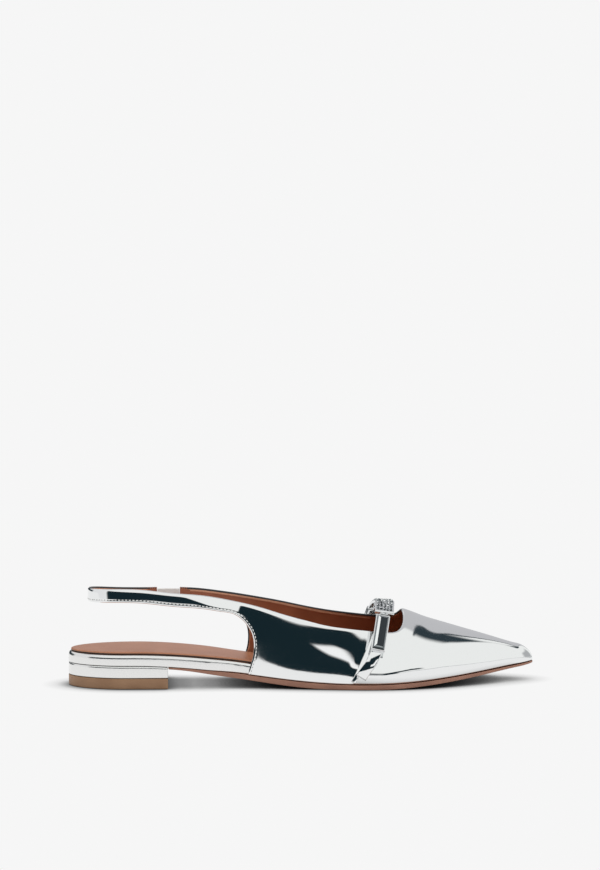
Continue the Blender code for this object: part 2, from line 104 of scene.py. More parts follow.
BAR_WALL_SHARE = 0.55
BAR_SEAT_SHARE = 0.80
BAR_RIM_RISE = 0.35
BAR_SIDE_SLOPE = 0.85
BAR_TIERS = (
    # inset of a step of the cut, share of the height
    (0.0, 0.0),
    (0.0, 0.30),
    (0.00075, 0.62),
    (0.00155, 0.86),
    (0.00235, 1.0),
)
# Limits on the way the bar crystal's facets face, which sort them into painted glints, painted grey
# reflections and painted dark reflections
FACET_END = 0.30
FACET_FLAT = 0.25
FACET_STEEP = 0.62
PAVE_STATION = 0.678
PAVE_SLANT = 0.008
PAVE_ANGLE = 58.0
PAVE_WIDTH = 0.0112
PAVE_THICKNESS = 0.0018
PAVE_COLUMNS = 9
PAVE_ROWS = 5
PAVE_REACH = 0.96
STONE_HEIGHT = 0.0009
STONE_REACH = 0.90
STONE_FILL = 0.88
STONE_SIZE = 0.47
STONE_TIERS = ((1.0, 0.0), (1.0, 0.25), (0.52, 0.9))
STRAP_DROP = math.radians(13.0)
STRAP_TURN = math.radians(-5.0)
STRAP_DROP_FADE = (0.016, 0.024)
STONE_SEED = 5
STONE_REFLECTION_SHARES = (0.42, 0.22, 0.36)

PLAN = (
    # station, lateral, medial
    (0.000, 0.293, 0.293),
    (0.110, 0.323, 0.323),
    (0.210, 0.335, 0.323),
    (0.300, 0.329, 0.293),
    (0.370, 0.323, 0.274),
    (0.445, 0.372, 0.299),
    (0.555, 0.451, 0.402),
    (0.630, 0.491, 0.482),
    (0.670, 0.495, 0.502),
    (0.740, 0.457, 0.488),
    (0.815, 0.360, 0.409),
    (0.890, 0.232, 0.287),
    (0.945, 0.130, 0.183),
    (1.000, 0.055, 0.105),
)
HEEL_ROUND = 0.120
TOE_ROUND = 0.965
CREST = (
    # station, height, lean, pinch
    (0.000, 2.03, 0.000, 0.00),
    (0.200, 1.97, 0.000, 0.00),
    (0.300, 1.92, 0.000, 0.00),
    (0.400, 1.80, 0.004, 0.04),
    (0.500, 1.54, 0.012, 0.13),
    (0.600, 1.17, 0.022, 0.25),
    (0.660, 1.035, 0.028, 0.29),
    (0.715, 0.975, 0.030, 0.29),
    (0.760, 0.842, 0.030, 0.26),
    (0.800, 0.732, 0.028, 0.22),
    (0.844, 0.613, 0.024, 0.16),
    (0.889, 0.490, 0.018, 0.10),
    (0.931, 0.370, 0.010, 0.05),
    (0.960, 0.290, 0.004, 0.02),
    (1.000, 0.215, 0.000, 0.00),
)
TUCK = math.radians(12.0)
SOLE_EDGE = (
    # station, thickness
    (0.200, 0.42),
    (0.250, 0.52),
    (0.300, 0.80),
    (0.385, 1.05),
    (0.455, 1.15),
    (0.520, 1.15),
    (0.600, 1.08),
    (0.660, 1.02),
    (0.760, 0.92),
    (0.850, 0.80),
    (0.930, 0.62),
    (1.000, 0.50),
)
SEAT_END = 0.130
BALL_START = 0.600
BALL_END = 0.630
BOARD = (
    # station, thickness
    (0.000, 1.00),
    (0.200, 1.02),
    (0.385, 1.02),
    (0.470, 0.85),
    (0.560, 0.62),
    (0.700, 0.48),
    (0.850, 0.45),
    (1.000, 0.42),
)
BOARD_TUCK = (0.290, 0.365)
TOPLINE = (
    # station, lateral, medial
    (0.043, 0.982, 0.982),
    (0.100, 1.000, 0.950),
    (0.150, 1.000, 0.940),
    (0.220, 0.964, 0.942),
    (0.282, 0.938, 0.933),
    (0.326, 0.902, 0.909),
    (0.370, 0.856, 0.879),
    (0.411, 0.805, 0.845),
    (0.456, 0.740, 0.804),
    (0.500, 0.684, 0.757),
    (0.541, 0.634, 0.718),
    (0.585, 0.599, 0.687),
    (0.630, 0.571, 0.663),
    (0.670, 0.552, 0.642),
)
THROAT = 0.715
THROAT_SQUARENESS = 3.5
SLING_ROUND = 0.150
QUARTER_START = 0.320
TOPLINE_MIDDLE = 0.500
FEATHER_MIDDLE = 0.640
FEATHER_THROAT = 0.810
REAR_EDGE = (
    # station, rise
    (0.320, 1.000),
    (0.349, 0.955),
    (0.371, 0.830),
    (0.385, 0.670),
    (0.390, 0.490),
    (0.388, 0.295),
    (0.382, 0.134),
    (0.378, 0.000),
)
MEDIAL_SETBACK = 0.0005
SLABS = {
    # steps round the outline, then reach and depth of the rounded lower edge and of the upper edge
    "outsole": (150, (0.0004, 0.0004), (0.0002, 0.0002)),
    "midsole": (200, (0.0004, 0.0005), (0.0017, 0.0024)),
    "insole": (200, (0.0002, 0.0002), (0.0007, 0.0008)),
    "top_lift": (70, (0.0005, 0.0006), (0.0003, 0.0003)),
    "heel_block": (70, (0.0004, 0.0005), (0.0006, 0.0012)),
}
SLAB_ROUNDING_STEPS = 8
SLAB_ACROSS = 8

LATERAL = -1
MEDIAL = 1
SIDES = ((LATERAL, "lateral"), (MEDIAL, "medial"))
X_BACK = -HEEL_LENGTH / 2

# Camera: the spot it turns round is the floor under the middle of the shoe
IMAGE_WIDTH = 600
IMAGE_HEIGHT = 870
SHOE_SPOT = (0.1065, 0.0, 0.0)
SPOT_PIXEL = (300.5, 681.1)
METRES_PER_PIXEL = 0.584e-3
CAMERA_DISTANCE = 1.5
CAMERA_ELEVATION = math.radians(8.0)
CAMERA_TURN = math.radians(4.5)
SENSOR = 36.0


def spline(table, column):
    """Natural cubic spline through one column of a table, along its first column."""
    xs = np.array([row[0] for row in table])
    ys = np.array([row[column] for row in table])
    spans = np.diff(xs)
    count = len(xs)
    system = np.eye(count)
    right = np.zeros(count)
    for i in range(1, count - 1):
        system[i, i - 1:i + 2] = spans[i - 1], 2 * (spans[i - 1] + spans[i]), spans[i]
        right[i] = 6 * ((ys[i + 1] - ys[i]) / spans[i] - (ys[i] - ys[i - 1]) / spans[i - 1])
    bend = np.linalg.solve(system, right)

    def value(x):
        i = np.clip(np.searchsorted(xs, x) - 1, 0, count - 2)
        span = spans[i]
        after = xs[i + 1] - x
        before = x - xs[i]
        curve = (bend[i] * after ** 3 + bend[i + 1] * before ** 3) / (6 * span)
        low = (ys[i] / span - bend[i] * span / 6) * after
        high = (ys[i + 1] / span - bend[i + 1] * span / 6) * before
        return curve + low + high

    return value


plan_lateral = spline(PLAN, 1)
plan_medial = spline(PLAN, 2)
crest_share = spline(CREST, 1)
lean_share = spline(CREST, 2)
pinch_share = spline(CREST, 3)
edge_share = spline(SOLE_EDGE, 1)
board_share = spline(BOARD, 1)
topline_share = {LATERAL: spline(TOPLINE, 1), MEDIAL: spline(TOPLINE, 2)}


def closing(station, start, end):
    """Elliptic closing of an outline: 1 before start, 0 at end."""
    share = np.clip((station - start) / (end - start), 0.0, 1.0)
    return np.sqrt(1.0 - share ** 2)


def ease(share, softness):
    """Rise from 0 to 1 that starts level and straightens out."""
    return (np.sqrt(share ** 2 + softness ** 2) - softness) / (math.sqrt(1 + softness ** 2) - softness)


def smooth_step(value, low, high):
    """Smooth rise from 0 at low to 1 at high."""
    share = np.clip((value - low) / (high - low), 0.0, 1.0)
    return share * share * (3 - 2 * share)


def place_x(station):
    """Turn a station into a coordinate along the shoe."""
    return X_BACK + station * LENGTH


def half_width(station):
    """Half of the width of the last's outline, before its ends are rounded."""
    return (plan_lateral(station) + plan_medial(station)) / 2 * BALL_WIDTH


def middle(station):
    """Sideways place of the middle of the outline."""
    return (plan_medial(station) - plan_lateral(station)) / 2 * BALL_WIDTH


def feather(station):
    """Height of the feather line, where the upper meets the sole."""
    fall = np.clip((station - SEAT_END) / (BALL_START - SEAT_END), 0.0, 1.0)
    rise = np.clip((station - BALL_END) / (1.0 - BALL_END), 0.0, 1.0)
    seat = (SEAT_HEIGHT - SOLE_THICKNESS) * (1 + np.cos(math.pi * fall)) / 2
    return SOLE_THICKNESS + seat + TOE_SPRING * ease(rise, 0.5)


def underside(station):
    """Height of the sole's underside, cut level by the floor under the ball."""
    return np.maximum(feather(station) - SOLE_THICKNESS * edge_share(station), 0.0)


def board_top(station):
    """Height of the top of the board."""
    return feather(station) + RIM_THICKNESS * board_share(station)


def last_height(station):
    """Height of the last's ridge above the feather line."""
    return crest_share(station) * VAMP_HEIGHT * closing(station, TOE_ROUND, 1.0)


def last_point(side, station, angle):
    """Points of the last's surface: angle runs from -TUCK at the feather line to 90 degrees at the ridge."""
    sling_back = SLING_SETBACK / LENGTH
    ends = closing(station, SLING_ROUND, sling_back) * closing(station, TOE_ROUND, 1.0)
    rise = (np.sin(angle) + math.sin(TUCK)) / (1 + math.sin(TUCK))
    lean = lean_share(station) * BALL_WIDTH * ends * rise
    side_share = np.cos(angle) * (1 - pinch_share(station) * rise)
    y = middle(station) + side * half_width(station) * ends * side_share + lean
    z = feather(station) + last_height(station) * rise
    return np.stack(np.broadcast_arrays(place_x(station), y, z), axis=-1)


def last_normal(side, station, angle, step=2e-5):
    """Outward unit normals of the last."""
    before = np.maximum(station - step, SLING_SETBACK / LENGTH)
    after = np.minimum(station + step, 1.0)
    along = last_point(side, after, angle) - last_point(side, before, angle)
    up = last_point(side, station, angle + step) - last_point(side, station, angle - step)
    normal = side * np.cross(up, along)
    size = np.linalg.norm(normal, axis=-1, keepdims=True)
    return normal / np.maximum(size, 1e-20)


def angle_at(station, height):
    """Angle of the last's section at a height above the floor."""
    rise = (height - feather(station)) / last_height(station)
    return np.arcsin(np.clip(rise * (1 + math.sin(TUCK)) - math.sin(TUCK), -1.0, 1.0))


def unit(vector):
    """Vector scaled to length one."""
    return vector / np.linalg.norm(vector)


def unit_rows(vectors):
    """Vectors scaled to length one, row by row."""
    return vectors / np.linalg.norm(vectors, axis=1, keepdims=True)


def run_lengths(points):
    """Length of the way along a row of points, up to each of them."""
    return np.concatenate(((0.0,), np.cumsum(np.linalg.norm(np.diff(points, axis=0), axis=1))))


def sample(wanted, run, values):
    """Rows of values at wanted lengths of the way."""
    return np.stack([np.interp(wanted, run, column) for column in values.T], axis=1)


def spread(stations, angles, side, count):
    """Spread count + 1 (station, angle) pairs evenly along a curve on the last."""
    run = run_lengths(last_point(side, stations, angles))
    wanted = np.linspace(0.0, run[-1], count + 1)
    return sample(wanted, run, np.stack((stations, angles), axis=1))


def topline_angle(side, station):
    """Angle of the topline on one side."""
    return angle_at(station, topline_share[side](station) * SLING_HEIGHT)


def sling_bottom_angle(side, station):
    """Angle of the lower edge of the sling on one side."""
    return angle_at(station, topline_share[side](station) * SLING_HEIGHT - SLING_WIDTH)


def sling_edges(side, start, end, count):
    """Lower and upper edge of the sling between two stations."""
    stations = start + (end - start) * np.linspace(0.0, 1.0, 400) ** 2
    low = spread(stations, sling_bottom_angle(side, stations), side, count)
    high = spread(stations, topline_angle(side, stations), side, count)
    return low, high


def rear_edge(side, count):
    """Rear edge of the quarter from the sling down to the feather line."""
    setback = MEDIAL_SETBACK / LENGTH if side == MEDIAL else 0.0
    order = tuple((i / (len(REAR_EDGE) - 1),) + row for i, row in enumerate(REAR_EDGE))
    steps = np.linspace(0.0, 1.0, 500)
    stations = spline(order, 1)(steps) - setback * np.minimum(1.0, steps * 2)
    rises = np.maximum(spline(order, 2)(steps), 0.0)
    top = topline_share[side](QUARTER_START) * SLING_HEIGHT - SLING_WIDTH
    heights = feather(stations) + (top - feather(stations)) * rises
    return spread(stations, angle_at(stations, heights), side, count)


def topline_run(side, start, end, count):
    """Topline between two stations."""
    stations = np.linspace(start, end, 300)
    return spread(stations, topline_angle(side, stations), side, count)


def throat_edge(side, count):
    """Edge of the throat from the topline to the ridge, with its squared corner."""
    corner = TOPLINE[-1][0]
    low = topline_angle(side, corner)
    power = 2 / THROAT_SQUARENESS
    turn = np.linspace(0.0, math.pi / 2, 400)
    stations = corner + (THROAT - corner) * np.sin(turn) ** power
    angles = math.pi / 2 - (math.pi / 2 - low) * np.maximum(np.cos(turn), 0.0) ** power
    angles[-1] = math.pi / 2
    return spread(stations, angles, side, count)


def toe_stations(start, count):
    """Stations from a start to the tip, closer together as the toe closes."""
    turn = np.linspace(0.0, math.pi / 2, count + 1)
    return start + (1.0 - start) * np.sin(turn) ** 1.2


REAR_STEPS = 70
TOPLINE_STEPS = 50
THROAT_STEPS = 60
VAMP_STEPS = 90
ACROSS_STEPS = 46
SLING_STEPS = 100
TIP = 0.99995

# Folded edges, stitches, seam between quarter and vamp, and how the mirror skin's shading is turned
EDGE_ROLL = 0.00030
EDGE_ROLL_WIDTH = 0.0021
LOWER_ROLL = 0.00008
LOWER_ROLL_WIDTH = 0.0009
RIM_SHARE = 0.60
FALL_LIMIT = 0.62
LINING_FOLD = 0.0016
FOLD_WIDTH = 0.0010
FOLD_THICKNESS = 0.0004
FOLD_DROP = 0.0016
FOLD_START = 0.006
FOLD_END = 0.655
STITCH_INSET = 0.0015
GROOVE_DEPTH = 0.00004
GROOVE_WIDTH = 0.00040
STITCH_PITCH = 0.0021
STITCH_LENGTH = 0.0014
STITCH_RADIUS = 0.00026
STITCH_CLEAR = 0.004
STITCH_STOP = 0.0005
HOLE_LENGTH = 0.0006
HOLE_RADIUS = 0.00030
HOLE_SINK = 0.00016
UPRIGHT_START = 0.40
UPRIGHT_END = 0.60
UPRIGHT = 0.50
UPRIGHT_DROP = math.radians(4.0)
SLING_TWIST = math.radians(7.0)
TWIST_START = (0.235, 0.285)
TWIST_SLANT = 0.70
TWIST_LEVEL = 0.70
TWIST_END = (0.345, 0.372)
TWIST_RISE = (0.40, 0.55)
SEAM_FOOT = 0.594
SEAM_SLANT = 0.11
SEAM_BLEND = 0.004
QUARTER_LIFT = math.radians(3.8)
LIFT_FADE = (0.12, 0.38)
SEAM_TURN = math.radians(6.5)
SEAM_TURN_RISE = (SEAM_FOOT - 0.030, SEAM_FOOT - 0.012)
SEAM_TURN_FADE = (0.13, 0.25)
THROAT_EASE = 0.19
THROAT_NEAR = (0.690, 0.712)
THROAT_FAR = (0.735, 0.815)
THROAT_RISE = (0.55, 0.80)
LOW_BAND = (
    # station, height above the feather line
    (0.600, 0.0050),
    (0.660, 0.0052),
    (0.720, 0.0072),
    (0.790, 0.0074),
    (0.850, 0.0058),
    (0.900, 0.0046),
    (1.000, 0.0030),
)
LOW_BAND_DROP = math.radians(21.0)
LOW_BAND_FADE = (0.70, 1.35)
TOE_FADE = 0.06
SEAM_BAND_WIDTH = 0.0026
SEAM_BAND_THICKNESS = 0.0005
SEAM_TUCK = 0.03
BAND_SINK = 0.0001
BAND_ROUNDING = 0.80
GATHER_LENGTH = 0.0060
GATHER_RIPPLE = 0.00016
GATHER_FOLDS = 5
GATHER_PUFF = 0.35
GATHER_CLEARANCE = (0.00005, 0.00006)
ELASTIC_RIPPLE = 0.00012
ELASTIC_RIBS = 22


def level_pairs(stations, angle):
    """Pairs of stations with one angle."""
    return np.stack((stations, np.full_like(stations, angle)), axis=1)


def quarter_edges(side):
    """Lower and upper edge of the quarter and the vamp, rib by rib to the tip."""
    low = [rear_edge(side, REAR_STEPS)]
    corner = low[0][-1][0]
    high = [topline_run(side, QUARTER_START, TOPLINE_MIDDLE, REAR_STEPS)]
    low.append(level_pairs(np.linspace(corner, FEATHER_MIDDLE, TOPLINE_STEPS + 1)[1:], -TUCK))
    high.append(topline_run(side, TOPLINE_MIDDLE, TOPLINE[-1][0], TOPLINE_STEPS)[1:])
    low.append(level_pairs(np.linspace(FEATHER_MIDDLE, FEATHER_THROAT, THROAT_STEPS + 1)[1:], -TUCK))
    high.append(throat_edge(side, THROAT_STEPS)[1:])
    low.append(level_pairs(np.minimum(toe_stations(FEATHER_THROAT, VAMP_STEPS)[1:], TIP), -TUCK))
    high.append(level_pairs(np.minimum(toe_stations(THROAT, VAMP_STEPS)[1:], TIP), math.pi / 2))
    return np.concatenate(low), np.concatenate(high)


def tube_mesh(name, grid):
    """Closed tube over rings of points, with its two ends filled."""
    rows, columns = grid.shape[:2]
    faces = []
    for i in range(rows - 1):
        low, high = i * columns, (i + 1) * columns
        for j in range(columns):
            after = (j + 1) % columns
            faces.append((low + j, high + j, high + after, low + after))
    mesh = bpy.data.meshes.new(name)
    mesh.from_pydata([tuple(p) for p in grid.reshape(-1, 3)], [], faces)
    mesh.validate()
    bm = bmesh.new()
    bm.from_mesh(mesh)
    bmesh.ops.holes_fill(bm, edges=[edge for edge in bm.edges if edge.is_boundary])
    bmesh.ops.recalc_face_normals(bm, faces=bm.faces)
    bm.to_mesh(mesh)
    bm.free()
    return mesh


def add_piece(name, mesh, material, replaced=()):
    """Put a mesh in the scene as a piece of the shoe."""
    mesh.shade_smooth()
    piece = bpy.data.objects.new(name, mesh)
    bpy.context.scene.collection.objects.link(piece)
    for entry in material if isinstance(material, (list, tuple)) else (material,):
        mesh.materials.append(entry)
    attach(piece, "root")
    if replaced:
        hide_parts(*replaced)
    return piece


def principled(name, colour, roughness, metallic=0.0, **sockets):
    """Material with a principled shader; returns it with its tree and shader."""
    material = bpy.data.materials.new(name)
    material.use_nodes = True
    tree = material.node_tree
    shader = tree.nodes["Principled BSDF"]
    shader.inputs["Base Color"].default_value = (*colour, 1.0)
    shader.inputs["Roughness"].default_value = roughness
    shader.inputs["Metallic"].default_value = metallic
    for socket, value in sockets.items():
        shader.inputs[socket.replace("_", " ")].default_value = value
    return material, tree, shader


def add_node(tree, kind, **values):
    """New node with values on its named inputs."""
    node = tree.nodes.new("ShaderNode" + kind)
    for name, value in values.items():
        node.inputs[name.replace("_", " ")].default_value = value
    return node


def maths(tree, operation, *values):
    """Result of a math node on sockets or numbers."""
    node = add_node(tree, "Math")
    node.operation = operation
    for socket, value in zip(node.inputs, values):
        if isinstance(value, float):
            socket.default_value = value
        else:
            tree.links.new(value, socket)
    return node.outputs["Value"]


def add_bump(tree, shader, layers):
    """Chain of bumps from noise layers (scale, height in metres, detail)."""
    place = add_node(tree, "TexCoord")
    last = None
    for scale, height, detail in layers:
        noise = add_node(tree, "TexNoise", Scale=scale, Detail=detail)
        bump = add_node(tree, "Bump", Distance=height)
        tree.links.new(place.outputs["Object"], noise.inputs["Vector"])
        tree.links.new(noise.outputs["Fac"], bump.inputs["Height"])
        if last is not None:
            tree.links.new(last.outputs["Normal"], bump.inputs["Normal"])
        last = bump
    tree.links.new(last.outputs["Normal"], shader.inputs["Normal"])


def mottled(tree, shader, scale, dark, light):
    """Vary the base colour between two shades with soft noise."""
    place = add_node(tree, "TexCoord")
    noise = add_node(tree, "TexNoise", Scale=scale, Detail=5.0)
    ramp = add_node(tree, "ValToRGB")
    for element, position, colour in zip(ramp.color_ramp.elements, (0.3, 0.7), (dark, light)):
        element.position = position
        element.color = (*colour, 1.0)
    tree.links.new(place.outputs["Object"], noise.inputs["Vector"])
    tree.links.new(noise.outputs["Fac"], ramp.inputs["Fac"])
    tree.links.new(ramp.outputs["Color"], shader.inputs["Base Color"])


def silver_leather():
    """Mirror-like silver leather with faint waves and fine grain."""
    material, tree, shader = principled("silver_leather", (0.86, 0.87, 0.87), 0.045, 1.0)
    add_bump(tree, shader, ((60.0, 0.00006, 0.0), (2600.0, 0.000002, 2.0)))
    return material


def wrapped_silver():
    """Same foil stretched over board, a little duller."""
    material, tree, shader = principled("wrapped_silver", (0.82, 0.82, 0.81), 0.14, 1.0)
    add_bump(tree, shader, ((70.0, 0.00006, 0.0), (2600.0, 0.000003, 2.0)))
    return material


def tan_leather(name, dark, light, roughness, grain):
    """Tan leather with soft mottling and grain."""
    material, tree, shader = principled(name, light, roughness)
    mottled(tree, shader, 70.0, dark, light)
    add_bump(tree, shader, ((1500.0, grain, 3.0), (5200.0, grain / 2, 2.0)))
    return material


SILVER = silver_leather()
RIM_SILVER = wrapped_silver()
LINING = tan_leather("lining", (0.290, 0.090, 0.040), (0.380, 0.128, 0.062), 0.45, 0.00002)
LINING_EDGE = tan_leather("lining_edge", (0.560, 0.270, 0.160), (0.640, 0.330, 0.205), 0.45, 0.00002)
INSOLE_TAN = tan_leather("insole_leather", (0.400, 0.165, 0.085), (0.450, 0.195, 0.105), 0.40, 0.00003)
SOLE_TAN = tan_leather("sole_edge", (0.290, 0.135, 0.090), (0.380, 0.185, 0.125), 0.50, 0.00002)
LIFT_TAN = tan_leather("lift_stack", (0.290, 0.155, 0.080), (0.370, 0.210, 0.115), 0.50, 0.00003)
ELASTIC_WHITE = principled("elastic_web", (0.80, 0.79, 0.77), 0.85)[0]
# Painted shadow: dark line at the foot of the insole's edge, standing in for the shaded gap above the silver
# board
SHADOW_LINE = principled("insole_painted_shadow_line", (0.030, 0.016, 0.010), 0.6)[0]
STITCH = principled("thread", (0.86, 0.86, 0.84), 0.55)[0]
# Painted shade: dark capsules stand in for the shade inside the needle holes
NEEDLE_HOLE_SHADE = principled("painted_needle_hole_shade", (0.012, 0.014, 0.016), 0.6)[0]
PAINTED_EDGE_SHADE = principled("topline_painted_shade", (0.020, 0.020, 0.022), 0.4)[0]
PLATED = principled("plated_metal", (0.80, 0.81, 0.82), 0.12, 1.0)[0]
# Three copies of the crystal, handed out facet by facet: painted glint, painted grey reflection and painted
# dark reflection
PAINTED_CRYSTAL_REFLECTIONS = (
    principled("crystal_painted_glint", (0.90, 0.92, 0.92), 0.03, 0.9, Coat_Weight=1.0)[0],
    principled("crystal_painted_grey_reflection", (0.24, 0.27, 0.28), 0.03, 0.8, Coat_Weight=1.0)[0],
    principled("crystal_painted_dark_reflection", (0.008, 0.014, 0.020), 0.05, Specular_IOR_Level=0.35)[0],
)
PAINTED_GLINT, PAINTED_GREY_REFLECTION, PAINTED_DARK_REFLECTION = range(3)


def rim_depth(distance, half):
    """How far a rounded edge falls back at a distance from the edge."""
    inside = np.clip(half - distance, 0.0, half)
    return half - np.sqrt(np.maximum(half ** 2 - inside ** 2, 0.0))


def rib_shares(length, half, steps):
    """Shares along a rib, close together near its ends for their rounding."""
    near = np.array((0.0, 0.05, 0.2, 0.45, 0.8, 1.2)) * half / length
    near = np.minimum(near, np.linspace(0.0, 0.2, len(near)))
    inner = np.linspace(near[-1], 1 - near[-1], steps - 2 * len(near) + 3)
    return np.concatenate((near[:-1], inner, 1 - near[:-1][::-1]))


def rib_grid(side, low, high, steps):
    """Points of the ribs between two edges, one row a rib."""
    rows = []
    for a, b in zip(low, high):
        start = last_point(side, *a)
        end = last_point(side, *b)
        length = max(float(np.linalg.norm(end - start)), 1e-4)
        shares = rib_shares(length, WALL / 2, steps)[:, None]
        flat = a + (b - a) * shares
        rows.append(last_point(side, flat[:, 0], flat[:, 1]))
    return np.array(rows)


def close_ends(low, high, at_start, at_end):
    """Add ribs close to the open ends of a strap, for their rounding."""
    shares = np.array((0.15, 0.45, 0.75))[:, None]
    edges = []
    for edge in (low, high):
        first = edge[0] + (edge[1] - edge[0]) * shares if at_start else edge[:0]
        last = edge[-1] + (edge[-2] - edge[-1]) * shares[::-1] if at_end else edge[:0]
        edges.append(np.concatenate((edge[:1], first, edge[1:-1], last, edge[-1:])))
    return edges


def upper_skin():
    """Outer skin of the upper as one welded mesh."""
    back = SLING_SETBACK / LENGTH
    stub = (ELASTIC_START + ELASTIC_LENGTH) / LENGTH
    lateral_sling = sling_edges(LATERAL, back, QUARTER_START, SLING_STEPS)
    medial_sling = sling_edges(MEDIAL, back, ELASTIC_START / LENGTH, SLING_STEPS * 2 // 3)
    stub_sling = sling_edges(MEDIAL, stub, QUARTER_START, SLING_STEPS // 2)
    stretches = (
        (LATERAL, lateral_sling, True),
        (MEDIAL, close_ends(*medial_sling, False, True), False),
        (MEDIAL, close_ends(*stub_sling, True, False), True),
    )
    bm = bmesh.new()
    for side, edges, with_body in stretches:
        if with_body:
            edges = [np.concatenate((edge, body[1:])) for edge, body in zip(edges, quarter_edges(side))]
        grid = rib_grid(side, *edges, ACROSS_STEPS)
        verts = [[bm.verts.new(point) for point in row] for row in grid]
        for row, after in zip(verts, verts[1:]):
            for j in range(len(row) - 1):
                corners = [row[j], after[j], after[j + 1], row[j + 1]]
                bm.faces.new(corners if side == LATERAL else corners[::-1])
    bmesh.ops.remove_doubles(bm, verts=bm.verts, dist=3e-6)
    bmesh.ops.dissolve_degenerate(bm, edges=bm.edges, dist=1e-7)
    bm.normal_update()
    return bm


def edge_points(lower):
    """Points along the lower edges of the sling and quarters, or else along the topline and throat."""
    points = []
    back = SLING_SETBACK / LENGTH
    stretches = (
        # side, start, end
        (LATERAL, back, QUARTER_START),
        (MEDIAL, back, ELASTIC_START / LENGTH),
        (MEDIAL, (ELASTIC_START + ELASTIC_LENGTH) / LENGTH, QUARTER_START),
    )
    for side, start, end in stretches:
        edge = sling_edges(side, start, end, 300)[0 if lower else 1]
        points.append(last_point(side, edge[:, 0], edge[:, 1]))
    for side in (LATERAL, MEDIAL):
        if lower:
            edges = (rear_edge(side, 300),)
        else:
            edges = (topline_run(side, QUARTER_START, TOPLINE[-1][0], 400), throat_edge(side, 300))
        points += [last_point(side, edge[:, 0], edge[:, 1]) for edge in edges]
    return np.concatenate(points)


def nearest(points, targets):
    """Distance from each point to the nearest target."""
    tree = KDTree(len(targets))
    for i, target in enumerate(targets):
        tree.insert(Vector(target), i)
    tree.balance()
    return np.array([tree.find(Vector(point))[2] for point in points])


def edge_fall(points, rim):
    """How far the outer face falls back: rounded edges, rolled folds and the stitch groove."""
    to_rim = nearest(points, points[rim])
    to_lower = nearest(points, edge_points(True))
    to_top = nearest(points, edge_points(False))
    round_off = rim_depth(to_rim, WALL / 2)
    roll = EDGE_ROLL * np.clip(1 - to_top / EDGE_ROLL_WIDTH, 0.0, 1.0) ** 2
    roll += LOWER_ROLL * np.clip(1 - to_lower / LOWER_ROLL_WIDTH, 0.0, 1.0) ** 2
    groove = GROOVE_DEPTH * np.exp(-((to_lower - STITCH_INSET) / GROOVE_WIDTH) ** 2)
    outer = np.minimum(round_off + roll + groove, WALL * FALL_LIMIT)
    outer[rim] = WALL / 2
    return outer, round_off, to_rim


def turned_normals(points, normals):
    """Shading normals of the skin: upright stretched quarters, twisted sling, low band along the vamp."""
    station = (points[:, 0] - X_BACK) / LENGTH
    height = points[:, 2] - feather(station)
    rise = height / SLING_HEIGHT
    from_seam = station - SEAM_SLANT * rise
    seam = smooth_step(from_seam, SEAM_FOOT - SEAM_BLEND, SEAM_FOOT + SEAM_BLEND)
    stretch = smooth_step(station, UPRIGHT_START, UPRIGHT_END) * (1 - seam)
    flat = np.linalg.norm(normals[:, :2], axis=1)
    tilt = np.arctan2(normals[:, 2], flat)
    tilt = np.where(tilt > 0, tilt * (1 - UPRIGHT * stretch), tilt)
    tilt += QUARTER_LIFT * (1 - smooth_step(rise, *LIFT_FADE)) * (1 - seam)
    tilt -= UPRIGHT_DROP * stretch ** 2
    twist = smooth_step(station + TWIST_SLANT * (rise - TWIST_LEVEL), *TWIST_START)
    twist *= 1 - smooth_step(station, *TWIST_END)
    tilt += SLING_TWIST * twist * smooth_step(rise, *TWIST_RISE)
    above = height / np.interp(station, *zip(*LOW_BAND))
    low_band = seam * (1 - smooth_step(above, *LOW_BAND_FADE)) * smooth_step(1 - station, 0.0, TOE_FADE)
    tilt -= LOW_BAND_DROP * low_band
    turned = normals.copy()
    throat = smooth_step(station, *THROAT_NEAR) * (1 - smooth_step(station, *THROAT_FAR))
    turned[:, 0] *= 1 - THROAT_EASE * throat * smooth_step(normals[:, 2], *THROAT_RISE)
    turned[:, :2] *= (np.cos(tilt) / np.maximum(flat, 1e-9))[:, None]
    turned[:, 2] = np.sin(tilt)
    close = smooth_step(from_seam, *SEAM_TURN_RISE) * (1 - seam) * smooth_step(rise, *SEAM_TURN_FADE)
    turned[:, 0] += np.sin(SEAM_TURN) * close * np.abs(turned[:, 1])
    return unit_rows(turned)


def build_upper():
    """Vamp, quarters and sling with rounded edges, silver outside and tan inside."""
    bm = upper_skin()
    bm.verts.ensure_lookup_table()
    bm.verts.index_update()
    points = np.array([v.co for v in bm.verts])
    normals = np.array([v.normal for v in bm.verts])
    rim = np.array([v.is_boundary for v in bm.verts])
    fall, inner_fall, to_rim = edge_fall(points, rim)
    outer = points - normals * fall[:, None]
    inner = points - normals * (WALL - inner_fall)[:, None]
    count = len(points)
    faces = [tuple(v.index for v in face.verts) for face in bm.faces]
    bm.free()
    inner_index = np.where(rim, np.arange(count), np.arange(count) + count)
    turned = [tuple(int(inner_index[i]) for i in face[::-1]) for face in faces]
    mesh = bpy.data.meshes.new("fine_upper")
    vertices = np.concatenate((outer, inner))
    mesh.from_pydata([tuple(p) for p in vertices], [], faces + turned)
    depth = [max(to_rim[i] for i in face) for face in faces]
    # Inside: a painted dark shade line right at the rim, then the paler lining edge, then the lining
    inside = [3 if d < WALL * RIM_SHARE else 2 if d < LINING_FOLD else 1 for d in depth]
    mesh.polygons.foreach_set("material_index", [0] * len(faces) + inside)
    add_piece("fine_upper", mesh, (SILVER, LINING, LINING_EDGE, PAINTED_EDGE_SHADE), ("upper",))
    shading = np.array([tuple(v.normal) for v in mesh.vertices])
    shading[:count] = turned_normals(vertices[:count], shading[:count])
    mesh.normals_split_custom_set_from_vertices([tuple(n) for n in shading])


